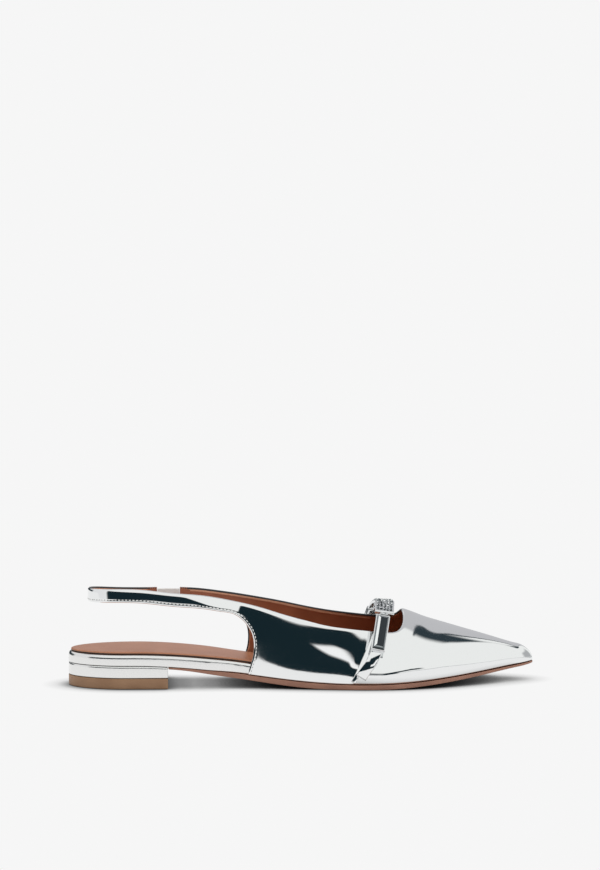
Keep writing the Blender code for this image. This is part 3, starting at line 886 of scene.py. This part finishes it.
def outline_rows(rear_inset, front_inset, start, end, count):
    """Rows (station, lateral, medial) of the plan moved inward, between two stations or its own ends."""
    turn = (1 - np.cos(np.linspace(0.0, math.pi, 1200))) / 2
    ends = closing(turn, HEEL_ROUND, 0.0) * closing(turn, TOE_ROUND, 1.0)
    inset = rear_inset + (front_inset - rear_inset) * smooth_step(turn, *BOARD_TUCK)
    moved = {}
    for side in (LATERAL, MEDIAL):
        x = turn * LENGTH
        y = middle(turn) + side * half_width(turn) * ends
        along = np.gradient(np.stack((x, y)), axis=1)
        along /= np.linalg.norm(along, axis=0)
        moved[side] = ((x + side * along[1] * inset) / LENGTH, y - side * along[0] * inset)
    own_start = max(moved[side][0][0] for side in moved)
    own_end = min(moved[side][0][-1] for side in moved)
    first = own_start if start is None else start
    last = own_end if end is None else end
    share = np.linspace(0.0, 1.0, count + 1)
    if start is None:
        share = 1 - np.cos(share * math.pi / 2) if end is not None else (1 - np.cos(share * math.pi)) / 2
    elif end is None:
        share = np.sin(share * math.pi / 2)
    stations = first + (last - first) * share
    lateral, medial = (np.interp(stations, *moved[side]) for side in (LATERAL, MEDIAL))
    if start is None:
        lateral[0] = medial[0] = (lateral[0] + medial[0]) / 2
    if end is None:
        lateral[-1] = medial[-1] = (lateral[-1] + medial[-1]) / 2
    return np.stack((stations, lateral, medial), axis=1)


def slab_ring(insets, cut, start, end, count, height):
    """Closed loop of points round a slab, moved in by a cut."""
    first = None if start is None else start + cut / LENGTH
    last = None if end is None else end - cut / LENGTH
    rows = outline_rows(insets[0] + cut, insets[1] + cut, first, last, count)
    stations = np.concatenate((rows[:, 0], rows[::-1, 0]))
    y = np.concatenate((rows[:, 1], rows[::-1, 2]))
    return np.stack((place_x(stations), y, height(stations)), axis=1)


def rounded_slab(node, material, insets, start, end, bottom, top):
    """Closed body over an outline, with a rounded lower and upper edge."""
    count, lower_edge, upper_edge = SLABS[node]
    loops = []
    turns = np.linspace(math.pi / 2, 0.0, SLAB_ROUNDING_STEPS)
    for (reach, depth), level, way in ((lower_edge, bottom, 1), (upper_edge, top, -1)):
        for turn in turns[::way]:
            cut = reach * (1 - math.cos(turn))
            lift = depth * (1 - math.sin(turn)) * way
            loops.append(slab_ring(insets, cut, start, end, count, lambda s, z=level, up=lift: z(s) + up))
    mesh = bmesh.new()
    rings = loft(mesh, loops, False, False)
    half = len(rings[0]) // 2
    for ring in (rings[0], rings[-1]):
        ways = list(zip(ring[:half], ring[::-1][:half]))
        columns = [ring[:half]]
        for k in range(1, SLAB_ACROSS):
            columns.append([mesh.verts.new(a.co.lerp(b.co, k / SLAB_ACROSS)) for a, b in ways])
        columns.append(ring[::-1][:half])
        for first, second in zip(columns, columns[1:]):
            for i in range(half - 1):
                mesh.faces.new((first[i], first[i + 1], second[i + 1], second[i]))
    bmesh.ops.remove_doubles(mesh, verts=mesh.verts, dist=1e-6)
    bmesh.ops.dissolve_degenerate(mesh, edges=mesh.edges, dist=1e-7)
    bmesh.ops.recalc_face_normals(mesh, faces=mesh.faces)
    data = bpy.data.meshes.new("fine_" + node)
    mesh.to_mesh(data)
    mesh.free()
    add_piece("fine_" + node, data, material, (node,))
    return data


def build_sole():
    """Outsole, silver board, insole and the two layers of the heel."""
    breast = HEEL_LENGTH / LENGTH
    front = WALL + BALL_WIDTH / 2 * (1 - math.cos(TUCK)) + 2 * GAP
    rounded_slab("outsole", SOLE_TAN, (0.0, 0.0), breast + GAP / LENGTH, None, underside,
                 lambda s: feather(s) - GAP)
    rounded_slab("midsole", RIM_SILVER, (GAP, front), None, None, feather, board_top)
    insole = rounded_slab("insole", INSOLE_TAN, (INSOLE_INSET, front + INSOLE_EDGE), None, None,
                          lambda s: board_top(s) + GAP, lambda s: board_top(s) + GAP + INSOLE_THICKNESS)
    insole.materials.append(SHADOW_LINE)
    # Side faces at the foot of the insole take the painted shadow line
    for face in insole.polygons:
        level = float(board_top((face.center.x - X_BACK) / LENGTH)) + GAP
        if face.center.z - level < INSOLE_LINE and abs(face.normal.z) < 0.75:
            face.material_index = 1
    rounded_slab("top_lift", LIFT_TAN, (GAP, GAP), None, breast, lambda s: 0.0 * s,
                 lambda s: 0.0 * s + TOP_LIFT_THICKNESS)
    rounded_slab("heel_block", RIM_SILVER, (GAP, GAP), None, breast,
                 lambda s: 0.0 * s + TOP_LIFT_THICKNESS + GAP, lambda s: feather(s) - GAP)


def band_mesh(name, points, normals, across, width, thickness, rounding=0.35):
    """Closed band along points with a rounded section."""
    corner = min(thickness * rounding, width / 4)
    section = []
    for sign_u, sign_v, start in ((1, 0, -90), (1, 1, 0), (-1, 1, 90), (-1, 0, 180)):
        u = sign_u * (width / 2 - corner)
        v = corner if sign_v == 0 else thickness - corner
        for step in range(4):
            turn = math.radians(start + step * 30)
            section.append((u + corner * math.cos(turn), v + corner * math.sin(turn)))
    return tube_mesh(name, np.stack([points + across * u + normals * v for u, v in section], axis=1))


def bar_line(side):
    """Back of the stiff bar: its two ends, outward normal and direction across."""
    low, high = (last_point(side, station, math.radians(angle)) for angle, station in (BAR_LOW, BAR_HIGH))
    run = unit(high - low)
    middle_angle = math.radians((BAR_LOW[0] + BAR_HIGH[0]) / 2)
    normal = last_normal(side, (BAR_LOW[1] + BAR_HIGH[1]) / 2, middle_angle)
    normal = unit(normal - run * normal.dot(run))
    across = np.cross(run, normal)
    proud = 0.0
    for share in np.linspace(0.0, 1.0, 21):
        angle = math.radians(BAR_LOW[0] + (BAR_HIGH[0] - BAR_LOW[0]) * share)
        for shift in (-0.5, 0.0, 0.5):
            station = BAR_LOW[1] + (BAR_HIGH[1] - BAR_LOW[1]) * share + shift * BAR_WIDTH / LENGTH
            if angle <= topline_angle(side, min(station, TOPLINE[-1][0])) + BAR_REACH:
                proud = max(proud, (last_point(side, station, angle) - low).dot(normal))
    shift = normal * (proud + 2 * GAP)
    return low + shift, high + shift, normal, across


def pave_frames(count, reach):
    """Frames across the middle of the throat, from the lateral to the medial side."""
    frames = []
    for share in np.linspace(-1.0, 1.0, count):
        side = LATERAL if share < 0 else MEDIAL
        angle = math.pi / 2 - abs(share) * (math.pi / 2 - math.radians(PAVE_ANGLE)) * reach
        station = PAVE_STATION - abs(share) * PAVE_SLANT
        point = last_point(side, station, angle)
        normal = last_normal(side, station, min(angle, math.radians(88.5)))
        if abs(share) < 0.01:
            normal[1] = 0.0
            normal = unit(normal)
        frames.append((point, normal, unit(np.cross((0.0, 1.0, 0.0), normal))))
    return frames


def strap_frames():
    """Smooth frames of the whole ornament strap from the lateral to the medial sole."""
    halves = []
    for side in (LATERAL, MEDIAL):
        frames = []
        angles = [row[0] for row in STRAP_PATH]
        stations = [row[1] for row in STRAP_PATH]
        for degrees in np.linspace(angles[0], angles[-1], 7):
            angle = math.radians(degrees)
            station = float(np.interp(degrees, angles, stations))
            normal = last_normal(side, station, angle)
            frames.append((last_point(side, station, angle) + normal * 2 * GAP, normal))
        low, high, normal, _ = bar_line(side)
        for share in (0.08, 0.5, 0.97):
            frames.append((low + (high - low) * share, normal))
        upper_part = pave_frames(7, 1.0)
        upper_part = upper_part[:3] if side == LATERAL else upper_part[:3:-1]
        frames += [frame[:2] for frame in upper_part]
        halves.append(frames)
    frames = halves[0] + [pave_frames(7, 1.0)[3][:2]] + halves[1][::-1]
    points = np.array([frame[0] for frame in frames])
    normals = np.array([frame[1] for frame in frames])
    return points, normals


def even_frames(points, normals, count):
    """Frames spread evenly along a row of points."""
    run = run_lengths(points)
    wanted = np.linspace(0.0, run[-1], count)
    points, normals = sample(wanted, run, points), sample(wanted, run, normals)
    for _ in range(2):
        normals[1:-1] = (normals[:-2] + 2 * normals[1:-1] + normals[2:]) / 4
    normals = unit_rows(normals)
    across = unit_rows(np.cross(np.gradient(points, axis=0), normals))
    across[across[:, 0] < 0] *= -1
    return points, normals, across


def build_strap():
    """Silver strap of the ornament."""
    points, normals, across = even_frames(*strap_frames(), 120)
    mesh = band_mesh("fine_strap", points, normals, across, STRAP_WIDTH, STRAP_THICKNESS)
    add_piece("fine_strap", mesh, SILVER, ("ornament_strap",))
    shading = np.array([tuple(v.normal) for v in mesh.vertices])
    height = np.array([v.co.z for v in mesh.vertices])
    flat = np.maximum(np.linalg.norm(shading[:, :2], axis=1), 1e-6)
    tilt = np.arctan2(shading[:, 2], flat)
    low = 1 - smooth_step(height, *STRAP_DROP_FADE)
    tilt -= STRAP_DROP * low
    heading = np.arctan2(shading[:, 0], -shading[:, 1]) + STRAP_TURN * low
    shading[:, 0] = np.sin(heading) * np.cos(tilt)
    shading[:, 1] = -np.cos(heading) * np.cos(tilt)
    shading[:, 2] = np.sin(tilt)
    mesh.normals_split_custom_set_from_vertices([tuple(n) for n in shading])


def rectangle_loop(centre, run, across, normal, half_long, half_wide, height):
    """Corners of a rectangle at a height above a plane."""
    corners = []
    for u, v in ((-1, -1), (1, -1), (1, 1), (-1, 1)):
        corners.append(centre + run * half_long * u + across * half_wide * v + normal * height)
    return corners


def loft(bm, loops, close_low=True, close_high=True):
    """Faces between loops of equal size; returns the loops' vertices."""
    rings = [[bm.verts.new(p) for p in loop] for loop in loops]
    size = len(rings[0])
    for low, high in zip(rings, rings[1:]):
        for i in range(size):
            bm.faces.new((low[i], low[(i + 1) % size], high[(i + 1) % size], high[i]))
    if close_low:
        bm.faces.new(rings[0][::-1])
    if close_high:
        bm.faces.new(rings[-1])
    return rings


def finish_mesh(bm, name, material, replaced=(), flat=False, bevel=0.0):
    """Turn a bmesh into a piece, with bevelled or flat faces."""
    bmesh.ops.recalc_face_normals(bm, faces=bm.faces)
    if bevel:
        bmesh.ops.bevel(bm, geom=list(bm.edges), offset=bevel, segments=2, affect="EDGES", profile=0.7)
    mesh = bpy.data.meshes.new(name)
    bm.to_mesh(mesh)
    bm.free()
    add_piece(name, mesh, material, replaced)
    if flat:
        mesh.shade_flat()
    else:
        mesh.set_sharp_from_angle(angle=math.radians(40.0))


def build_bar(side, name):
    """Metal setting with a raised rim and its long step-cut crystal."""
    low, high, normal, across = bar_line(side)
    centre = (low + high) / 2
    run = unit(high - low)
    half_long = np.linalg.norm(high - low) / 2
    half_wide = BAR_WIDTH / 2
    base = STRAP_THICKNESS + GAP
    floor_height = base + BAR_SETTING
    rim_top = floor_height + BAR_CRYSTAL * BAR_RIM_RISE
    wall = BAR_RIM * BAR_WALL_SHARE
    bm = bmesh.new()
    steps = ((0.0, base), (0.0, rim_top), (wall, rim_top), (wall, floor_height))
    loops = []
    for inset, level in steps:
        loops.append(rectangle_loop(centre, run, across, normal, half_long - inset, half_wide - inset,
                                    level))
    loft(bm, loops)
    finish_mesh(bm, "fine_" + name + "_setting", PLATED, (name + "_bar_setting",),
                bevel=BAR_BEVEL)
    bm = bmesh.new()
    cut = BAR_RIM * BAR_SEAT_SHARE
    loops = []
    for inset, share in BAR_TIERS:
        loops.append(rectangle_loop(centre, run, across, normal, half_long - cut - inset,
                                    half_wide - cut - inset * BAR_SIDE_SLOPE,
                                    floor_height + GAP + BAR_CRYSTAL * share))
    loft(bm, loops)
    bmesh.ops.recalc_face_normals(bm, faces=bm.faces)
    # Painted reflection: each facet takes the glint, grey or dark copy of the crystal by the way it faces
    for face in bm.faces:
        forward = Vector(across).dot(face.normal) * math.copysign(1.0, across[0])
        if abs(Vector(run).dot(face.normal)) > FACET_END or abs(forward) > FACET_STEEP:
            face.material_index = PAINTED_GREY_REFLECTION
        else:
            face.material_index = PAINTED_DARK_REFLECTION if forward > -FACET_FLAT else PAINTED_GLINT
    finish_mesh(bm, "fine_" + name + "_crystal", PAINTED_CRYSTAL_REFLECTIONS, (name + "_bar_crystal",), flat=True)


def build_pave():
    """Curved square setting with rows of small faceted stones."""
    base = STRAP_THICKNESS + GAP
    frames = pave_frames(25, PAVE_REACH)
    points, normals, across = (np.array([frame[k] for frame in frames]) for k in range(3))
    mesh = band_mesh("fine_pave", points + normals * base, normals, across, PAVE_WIDTH, PAVE_THICKNESS, 0.2)
    add_piece("fine_pave", mesh, PLATED, ("pave_setting",))
    bm = bmesh.new()
    foot = base + PAVE_THICKNESS + GAP / 2
    pitch = PAVE_WIDTH * STONE_FILL / PAVE_ROWS
    for point, normal, side in pave_frames(PAVE_COLUMNS * 2 + 1, STONE_REACH)[1::2]:
        run = np.cross(normal, side)
        for k in range(PAVE_ROWS):
            centre = point + side * (k - (PAVE_ROWS - 1) / 2) * pitch + normal * foot
            loops = []
            for share, height in STONE_TIERS:
                spot = centre + normal * STONE_HEIGHT * height
                loops.append(circle(spot, run, side, pitch * STONE_SIZE * share, 8, math.pi / 8))
            loft(bm, loops)
    # Painted reflection: the stones' facets take the glint, grey or dark copy of the crystal at random, in the
    # given shares
    shades = np.random.default_rng(STONE_SEED).choice((PAINTED_GLINT, PAINTED_GREY_REFLECTION, PAINTED_DARK_REFLECTION), len(bm.faces), p=STONE_REFLECTION_SHARES)
    for face, shade in zip(bm.faces, shades):
        face.material_index = int(shade)
    finish_mesh(bm, "fine_rhinestones", PAINTED_CRYSTAL_REFLECTIONS, ("rhinestones",), flat=True)


def elastic_line(stations):
    """Points, normals and upward directions along the middle of the medial sling."""
    heights = topline_share[MEDIAL](stations) * SLING_HEIGHT - SLING_WIDTH / 2
    angles = angle_at(stations, heights)
    rises = last_point(MEDIAL, stations, angles + 0.01) - last_point(MEDIAL, stations, angles - 0.01)
    return last_point(MEDIAL, stations, angles), last_normal(MEDIAL, stations, angles), unit_rows(rises)


def build_elastic():
    """Ribbed elastic between the strap and the stub."""
    stations = (ELASTIC_START + np.linspace(GAP, ELASTIC_LENGTH - GAP, 90)) / LENGTH
    points, normals, rises = elastic_line(stations)
    ripple = ELASTIC_RIPPLE * np.sin(np.linspace(0.0, ELASTIC_RIBS * 2 * math.pi, len(stations)))
    points += normals * (ripple - (WALL + ELASTIC_THICKNESS) / 2)[:, None]
    mesh = band_mesh("fine_elastic", points, normals, rises, ELASTIC_WIDTH, ELASTIC_THICKNESS, 0.45)
    add_piece("fine_elastic", mesh, ELASTIC_WHITE, ("sling_elastic",))


def along(points, normals, start, stop, pitch):
    """Places, normals and directions every pitch along a line of points."""
    run = run_lengths(points)
    wanted = np.arange(start, run[-1] - stop, pitch)
    place = sample(wanted, run, points)
    ahead = sample(wanted + pitch * 0.1, run, points)
    return place, unit_rows(sample(wanted, run, normals)), unit_rows(ahead - place)


def across_line(points, normals):
    """Directions across a line of points, in the surface."""
    return unit_rows(np.cross(normals, np.gradient(points, axis=0)))


def edge_line(side, start, end, with_rear):
    """Stitch line inside the sling's lower edge and, if wanted, on down the quarter's rear edge."""
    edge = sling_edges(side, start, end, 400)[0]
    if with_rear:
        edge = np.concatenate((edge, rear_edge(side, 400)[1:]))
    points = last_point(side, *edge.T)
    normals = last_normal(side, *edge.T)
    return points - side * across_line(points, normals) * STITCH_INSET - normals * GROOVE_DEPTH, normals


def circle(centre, first, second, radius, count, start=0.0):
    """Points round a circle in the plane of two directions."""
    turns = np.linspace(0.0, 2 * math.pi, count + 1)[:-1] + start
    return [centre + (first * math.cos(turn) + second * math.sin(turn)) * radius for turn in turns]


def capsule(bm, centre, direction, normal, length, radius):
    """Short thread with rounded ends."""
    side = np.cross(direction, normal)
    rings = []
    for share, size in ((-1.0, 0.25), (-0.8, 0.8), (-0.4, 1.0), (0.4, 1.0), (0.8, 0.8), (1.0, 0.25)):
        rings.append(circle(centre + direction * share * length / 2, side, normal, radius * size, 6))
    loft(bm, rings)


def build_stitches():
    """Stitches along the sling and down the rear edges of the quarters, with dark capsules between them as
    painted shade of the needle holes.
    """
    back = SLING_SETBACK / LENGTH
    threads, hole_shades = bmesh.new(), bmesh.new()
    lines = (
        (LATERAL, back, QUARTER_START, True),
        (MEDIAL, back, (ELASTIC_START - STITCH_CLEAR) / LENGTH, False),
        (MEDIAL, (ELASTIC_START + ELASTIC_LENGTH + STITCH_CLEAR) / LENGTH, QUARTER_START, True),
    )
    for line in lines:
        places = along(*edge_line(*line), STITCH_PITCH * 0.6, STITCH_STOP, STITCH_PITCH)
        for centre, normal, direction in zip(*places):
            capsule(threads, centre, direction, normal, STITCH_LENGTH, STITCH_RADIUS)
            # Dark capsule sunk between two stitches: painted shade of a needle hole
            between = centre + direction * STITCH_PITCH / 2 - normal * HOLE_SINK
            capsule(hole_shades, between, direction, normal, HOLE_LENGTH, HOLE_RADIUS)
    finish_mesh(threads, "stitches", STITCH)
    finish_mesh(hole_shades, "stitch_hole_shades", NEEDLE_HOLE_SHADE)


def build_seam_bands():
    """Folded front edge of each quarter, a narrow raised band behind the ornament strap."""
    for side, name in SIDES:
        station = SEAM_FOOT
        for _ in range(6):
            top = float(topline_angle(side, station))
            rise = (last_point(side, station, top)[2] - feather(station)) / SLING_HEIGHT
            station = SEAM_FOOT + SEAM_SLANT * rise
        angles = np.linspace(-TUCK + SEAM_TUCK, top, 60)
        stations = np.full_like(angles, SEAM_FOOT)
        for _ in range(6):
            rises = (last_point(side, stations, angles)[:, 2] - feather(SEAM_FOOT)) / SLING_HEIGHT
            stations = SEAM_FOOT + SEAM_SLANT * np.maximum(rises, 0.0)
        normals = last_normal(side, stations, angles)
        points = last_point(side, stations, angles)
        mesh = band_mesh("seam_" + name, points - normals * BAND_SINK, normals, across_line(points, normals),
                         SEAM_BAND_WIDTH, SEAM_BAND_THICKNESS, BAND_ROUNDING)
        add_piece("seam_" + name, mesh, SILVER)


def build_lining_folds():
    """Turned top edge of the lining, a narrow paler fold inside each topline."""
    starts = (SLING_SETBACK + FOLD_START, ELASTIC_START + ELASTIC_LENGTH + GATHER_LENGTH)
    for (side, name), start in zip(SIDES, starts):
        stations = np.linspace(start / LENGTH, FOLD_END, 120)
        angles = angle_at(stations, topline_share[side](stations) * SLING_HEIGHT - FOLD_DROP)
        normals = -last_normal(side, stations, angles)
        points = last_point(side, stations, angles) + normals * (WALL - BAND_SINK)
        mesh = band_mesh("lining_fold_" + name, points, normals, across_line(points, normals), FOLD_WIDTH,
                         FOLD_THICKNESS, BAND_ROUNDING)
        add_piece("lining_fold_" + name, mesh, LINING_EDGE)


def signed_power(value, power):
    """Power of a value's size, with its sign."""
    return abs(value) ** power * math.copysign(1.0, value)


def build_gathers():
    """Gathered leather ends where the elastic goes into the sling and the stub."""
    for name, start, way in (("strap", ELASTIC_START, -1), ("stub", ELASTIC_START + ELASTIC_LENGTH, 1)):
        stations = (start + way * np.linspace(0.0, GATHER_LENGTH, 26)) / LENGTH
        share = np.linspace(0.0, 1.0, len(stations))
        ripples = GATHER_RIPPLE * np.sin(share * GATHER_FOLDS * 2 * math.pi) * (1 - share)
        puffs = 1 + GATHER_PUFF * (1 - share) * np.sin(np.minimum(share * 6.0, math.pi / 2))
        grid = []
        for point, normal, rise, ripple, puff in zip(*elastic_line(stations), ripples, puffs):
            thick = WALL / 2 * puff + ripple + GATHER_CLEARANCE[1]
            tall = SLING_WIDTH / 2 + ripple * 0.8 + GATHER_CLEARANCE[0]
            ring = []
            for turn in np.linspace(0.0, 2 * math.pi, 25)[:-1]:
                high = signed_power(math.sin(turn), 0.35) * tall
                wide = signed_power(math.cos(turn), 0.8) * thick
                ring.append(point + rise * high + normal * (wide - WALL / 2))
            grid.append(ring)
        mesh = tube_mesh("gather_" + name, np.array(grid))
        for face in mesh.polygons:
            face.material_index = 1 if face.normal.y < -0.35 else 0
        add_piece("gather_" + name, mesh, (SILVER, LINING))


def build_camera():
    """Camera at the photograph's angle."""
    data = bpy.data.cameras.new("camera")
    data.sensor_width = SENSOR
    data.lens = SENSOR * CAMERA_DISTANCE / (IMAGE_HEIGHT * METRES_PER_PIXEL)
    data.shift_x = (IMAGE_WIDTH / 2 - SPOT_PIXEL[0]) / IMAGE_HEIGHT
    data.shift_y = (SPOT_PIXEL[1] - IMAGE_HEIGHT / 2) / IMAGE_HEIGHT
    camera = bpy.data.objects.new("camera", data)
    forward = Vector((math.sin(CAMERA_TURN) * math.cos(CAMERA_ELEVATION),
                      math.cos(CAMERA_TURN) * math.cos(CAMERA_ELEVATION), -math.sin(CAMERA_ELEVATION)))
    camera.location = Vector(SHOE_SPOT) - forward * CAMERA_DISTANCE
    camera.rotation_euler = forward.to_track_quat("-Z", "Y").to_euler()
    bpy.context.scene.collection.objects.link(camera)
    bpy.context.scene.camera = camera


PALE = (0.9225, 0.9225, 0.9225)
SHADOWS = (
    # reach, depth
    (0.0170, 0.95),
    (0.0075, 1.10),
)
SHADOW_SAMPLES = 12
FLOOR_SIZE = 12.0
FLOOR_PLACE = (0.1, 0.0, -0.0002)
LAMP_PLACE = (0.1, -0.25, 1.3)
LAMP_TILT = -0.19
LAMP_SIZE = (0.9, 0.7)
LAMP_ENERGY = 5.0
MIX_FACTOR, MIX_FIRST, MIX_SECOND, MIX_COLOUR = 0, 6, 7, 2
STUDIO_BASE = (0.93, 0.94, 0.93)
NAVY = (0.0085, 0.0200, 0.0260)
DEEP_GREY = (0.030, 0.045, 0.055)
STUDIO_PATCHES = (
    # azimuth from, to, elevation from, to, softness across, softness up, colour
    (-179.0, -70.0, -5.0, 48.0, 12.0, 6.0, (0.84, 0.84, 0.85)),
    (-178.0, -118.0, -4.5, 19.0, 6.0, 2.0, (0.022, 0.036, 0.044)),
    (80.0, 128.0, 2.0, 33.0, 8.0, 6.0, (0.46, 0.47, 0.48)),
    (22.0, 178.0, -5.0, 2.0, 3.0, 1.0, (0.33, 0.35, 0.36)),
    (-70.0, 19.0, -5.2, 20.0, 3.0, 1.0, NAVY),
    (8.0, 38.0, 9.0, 20.0, 3.0, 1.0, NAVY),
    (-2.0, 7.8, 4.6, 9.4, 1.2, 1.0, (1.0, 1.0, 1.0)),
)
LENGTHWISE_PATCHES = (
    # share toward the toe from, to, share away from the camera from, to, softness of both, colour
    (-0.60, 0.425, 0.16, 1.10, 0.006, 0.05, (0.56, 0.56, 0.58)),
    (0.418, 0.431, 0.06, 0.90, 0.004, 0.05, DEEP_GREY),
    (0.420, 0.492, 0.10, 0.42, 0.010, 0.07, DEEP_GREY),
)


def build_world():
    """Studio by direction alone: white with soft dark and grey areas, and plain pale behind the shoe."""
    world = bpy.data.worlds.new("studio")
    bpy.context.scene.world = world
    world.use_nodes = True
    tree = world.node_tree
    tree.nodes.clear()
    coords = add_node(tree, "TexCoord")
    split = add_node(tree, "SeparateXYZ")
    tree.links.new(coords.outputs["Generated"], split.inputs["Vector"])
    toeward, away, upward = (split.outputs[axis] for axis in "XYZ")
    azimuth = maths(tree, "ARCTAN2", toeward, maths(tree, "MULTIPLY", away, -1.0))
    elevation = maths(tree, "ARCSINE", upward)

    def ramp(source, edge, softness, start, end):
        """Soft step of a coordinate at an edge."""
        node = add_node(tree, "MapRange", From_Min=edge - softness, From_Max=edge + softness, To_Min=start,
                        To_Max=end)
        node.interpolation_type = "SMOOTHSTEP"
        tree.links.new(source, node.inputs["Value"])
        return node.outputs["Result"]

    def window(first, second, left, right, low, high, soft_side, soft_end):
        """Mask of a soft rectangle in two coordinates of the direction."""
        sides = ramp(first, left, soft_side, 0.0, 1.0), ramp(first, right, soft_side, 1.0, 0.0)
        ends = ramp(second, low, soft_end, 0.0, 1.0), ramp(second, high, soft_end, 1.0, 0.0)
        return maths(tree, "MULTIPLY", maths(tree, "MULTIPLY", *sides), maths(tree, "MULTIPLY", *ends))

    masks = [(window(toeward, away, *limits), colour) for *limits, colour in LENGTHWISE_PATCHES]
    for *limits, colour in STUDIO_PATCHES:
        masks.append((window(azimuth, elevation, *map(math.radians, limits)), colour))
    last = None
    for mask, colour in masks:
        mix = add_node(tree, "Mix")
        mix.data_type = "RGBA"
        mix.inputs[MIX_SECOND].default_value = (*colour, 1.0)
        if last is None:
            mix.inputs[MIX_FIRST].default_value = (*STUDIO_BASE, 1.0)
        else:
            tree.links.new(last, mix.inputs[MIX_FIRST])
        tree.links.new(mask, mix.inputs[MIX_FACTOR])
        last = mix.outputs[MIX_COLOUR]
    studio = add_node(tree, "Background", Strength=1.0)
    seen = add_node(tree, "Background", Color=(*PALE, 1.0))
    path = add_node(tree, "LightPath")
    choice = add_node(tree, "MixShader")
    out = add_node(tree, "OutputWorld")
    tree.links.new(last, studio.inputs["Color"])
    tree.links.new(path.outputs["Is Camera Ray"], choice.inputs["Fac"])
    tree.links.new(studio.outputs["Background"], choice.inputs[1])
    tree.links.new(seen.outputs["Background"], choice.inputs[2])
    tree.links.new(choice.outputs["Shader"], out.inputs["Surface"])


def build_floor():
    """Plain pale floor that darkens only where the shoe keeps the light out, and the lamp over it."""
    bpy.ops.mesh.primitive_plane_add(size=FLOOR_SIZE, location=FLOOR_PLACE)
    floor = bpy.context.object
    floor.name = "floor"
    material = bpy.data.materials.new("pale_floor")
    material.use_nodes = True
    tree = material.node_tree
    tree.nodes.clear()
    # Painted shadow: the glowing floor is dimmed by ambient occlusion near the shoe, no lamp casts it
    shades = []
    for reach, depth in SHADOWS:
        node = add_node(tree, "AmbientOcclusion", Distance=reach)
        node.samples = SHADOW_SAMPLES
        shades.append(maths(tree, "POWER", node.outputs["AO"], depth))
    glow = add_node(tree, "Emission", Color=(*PALE, 1.0))
    out = add_node(tree, "OutputMaterial")
    tree.links.new(maths(tree, "MULTIPLY", *shades), glow.inputs["Strength"])
    tree.links.new(glow.outputs["Emission"], out.inputs["Surface"])
    floor.data.materials.append(material)
    data = bpy.data.lights.new("soft_top", "AREA")
    data.shape = "RECTANGLE"
    data.size, data.size_y = LAMP_SIZE
    data.energy = LAMP_ENERGY
    light = bpy.data.objects.new("soft_top", data)
    light.location = LAMP_PLACE
    light.rotation_euler = (LAMP_TILT, 0.0, 0.0)
    light.visible_glossy = False
    bpy.context.scene.collection.objects.link(light)
    bpy.context.scene.view_settings.view_transform = "Standard"


build_upper()
build_sole()
build_strap()
for bar_side, bar_name in SIDES:
    build_bar(bar_side, bar_name)
build_pave()
build_elastic()
build_gathers()
build_stitches()
build_seam_bands()
build_lining_folds()
build_camera()
build_world()
build_floor()
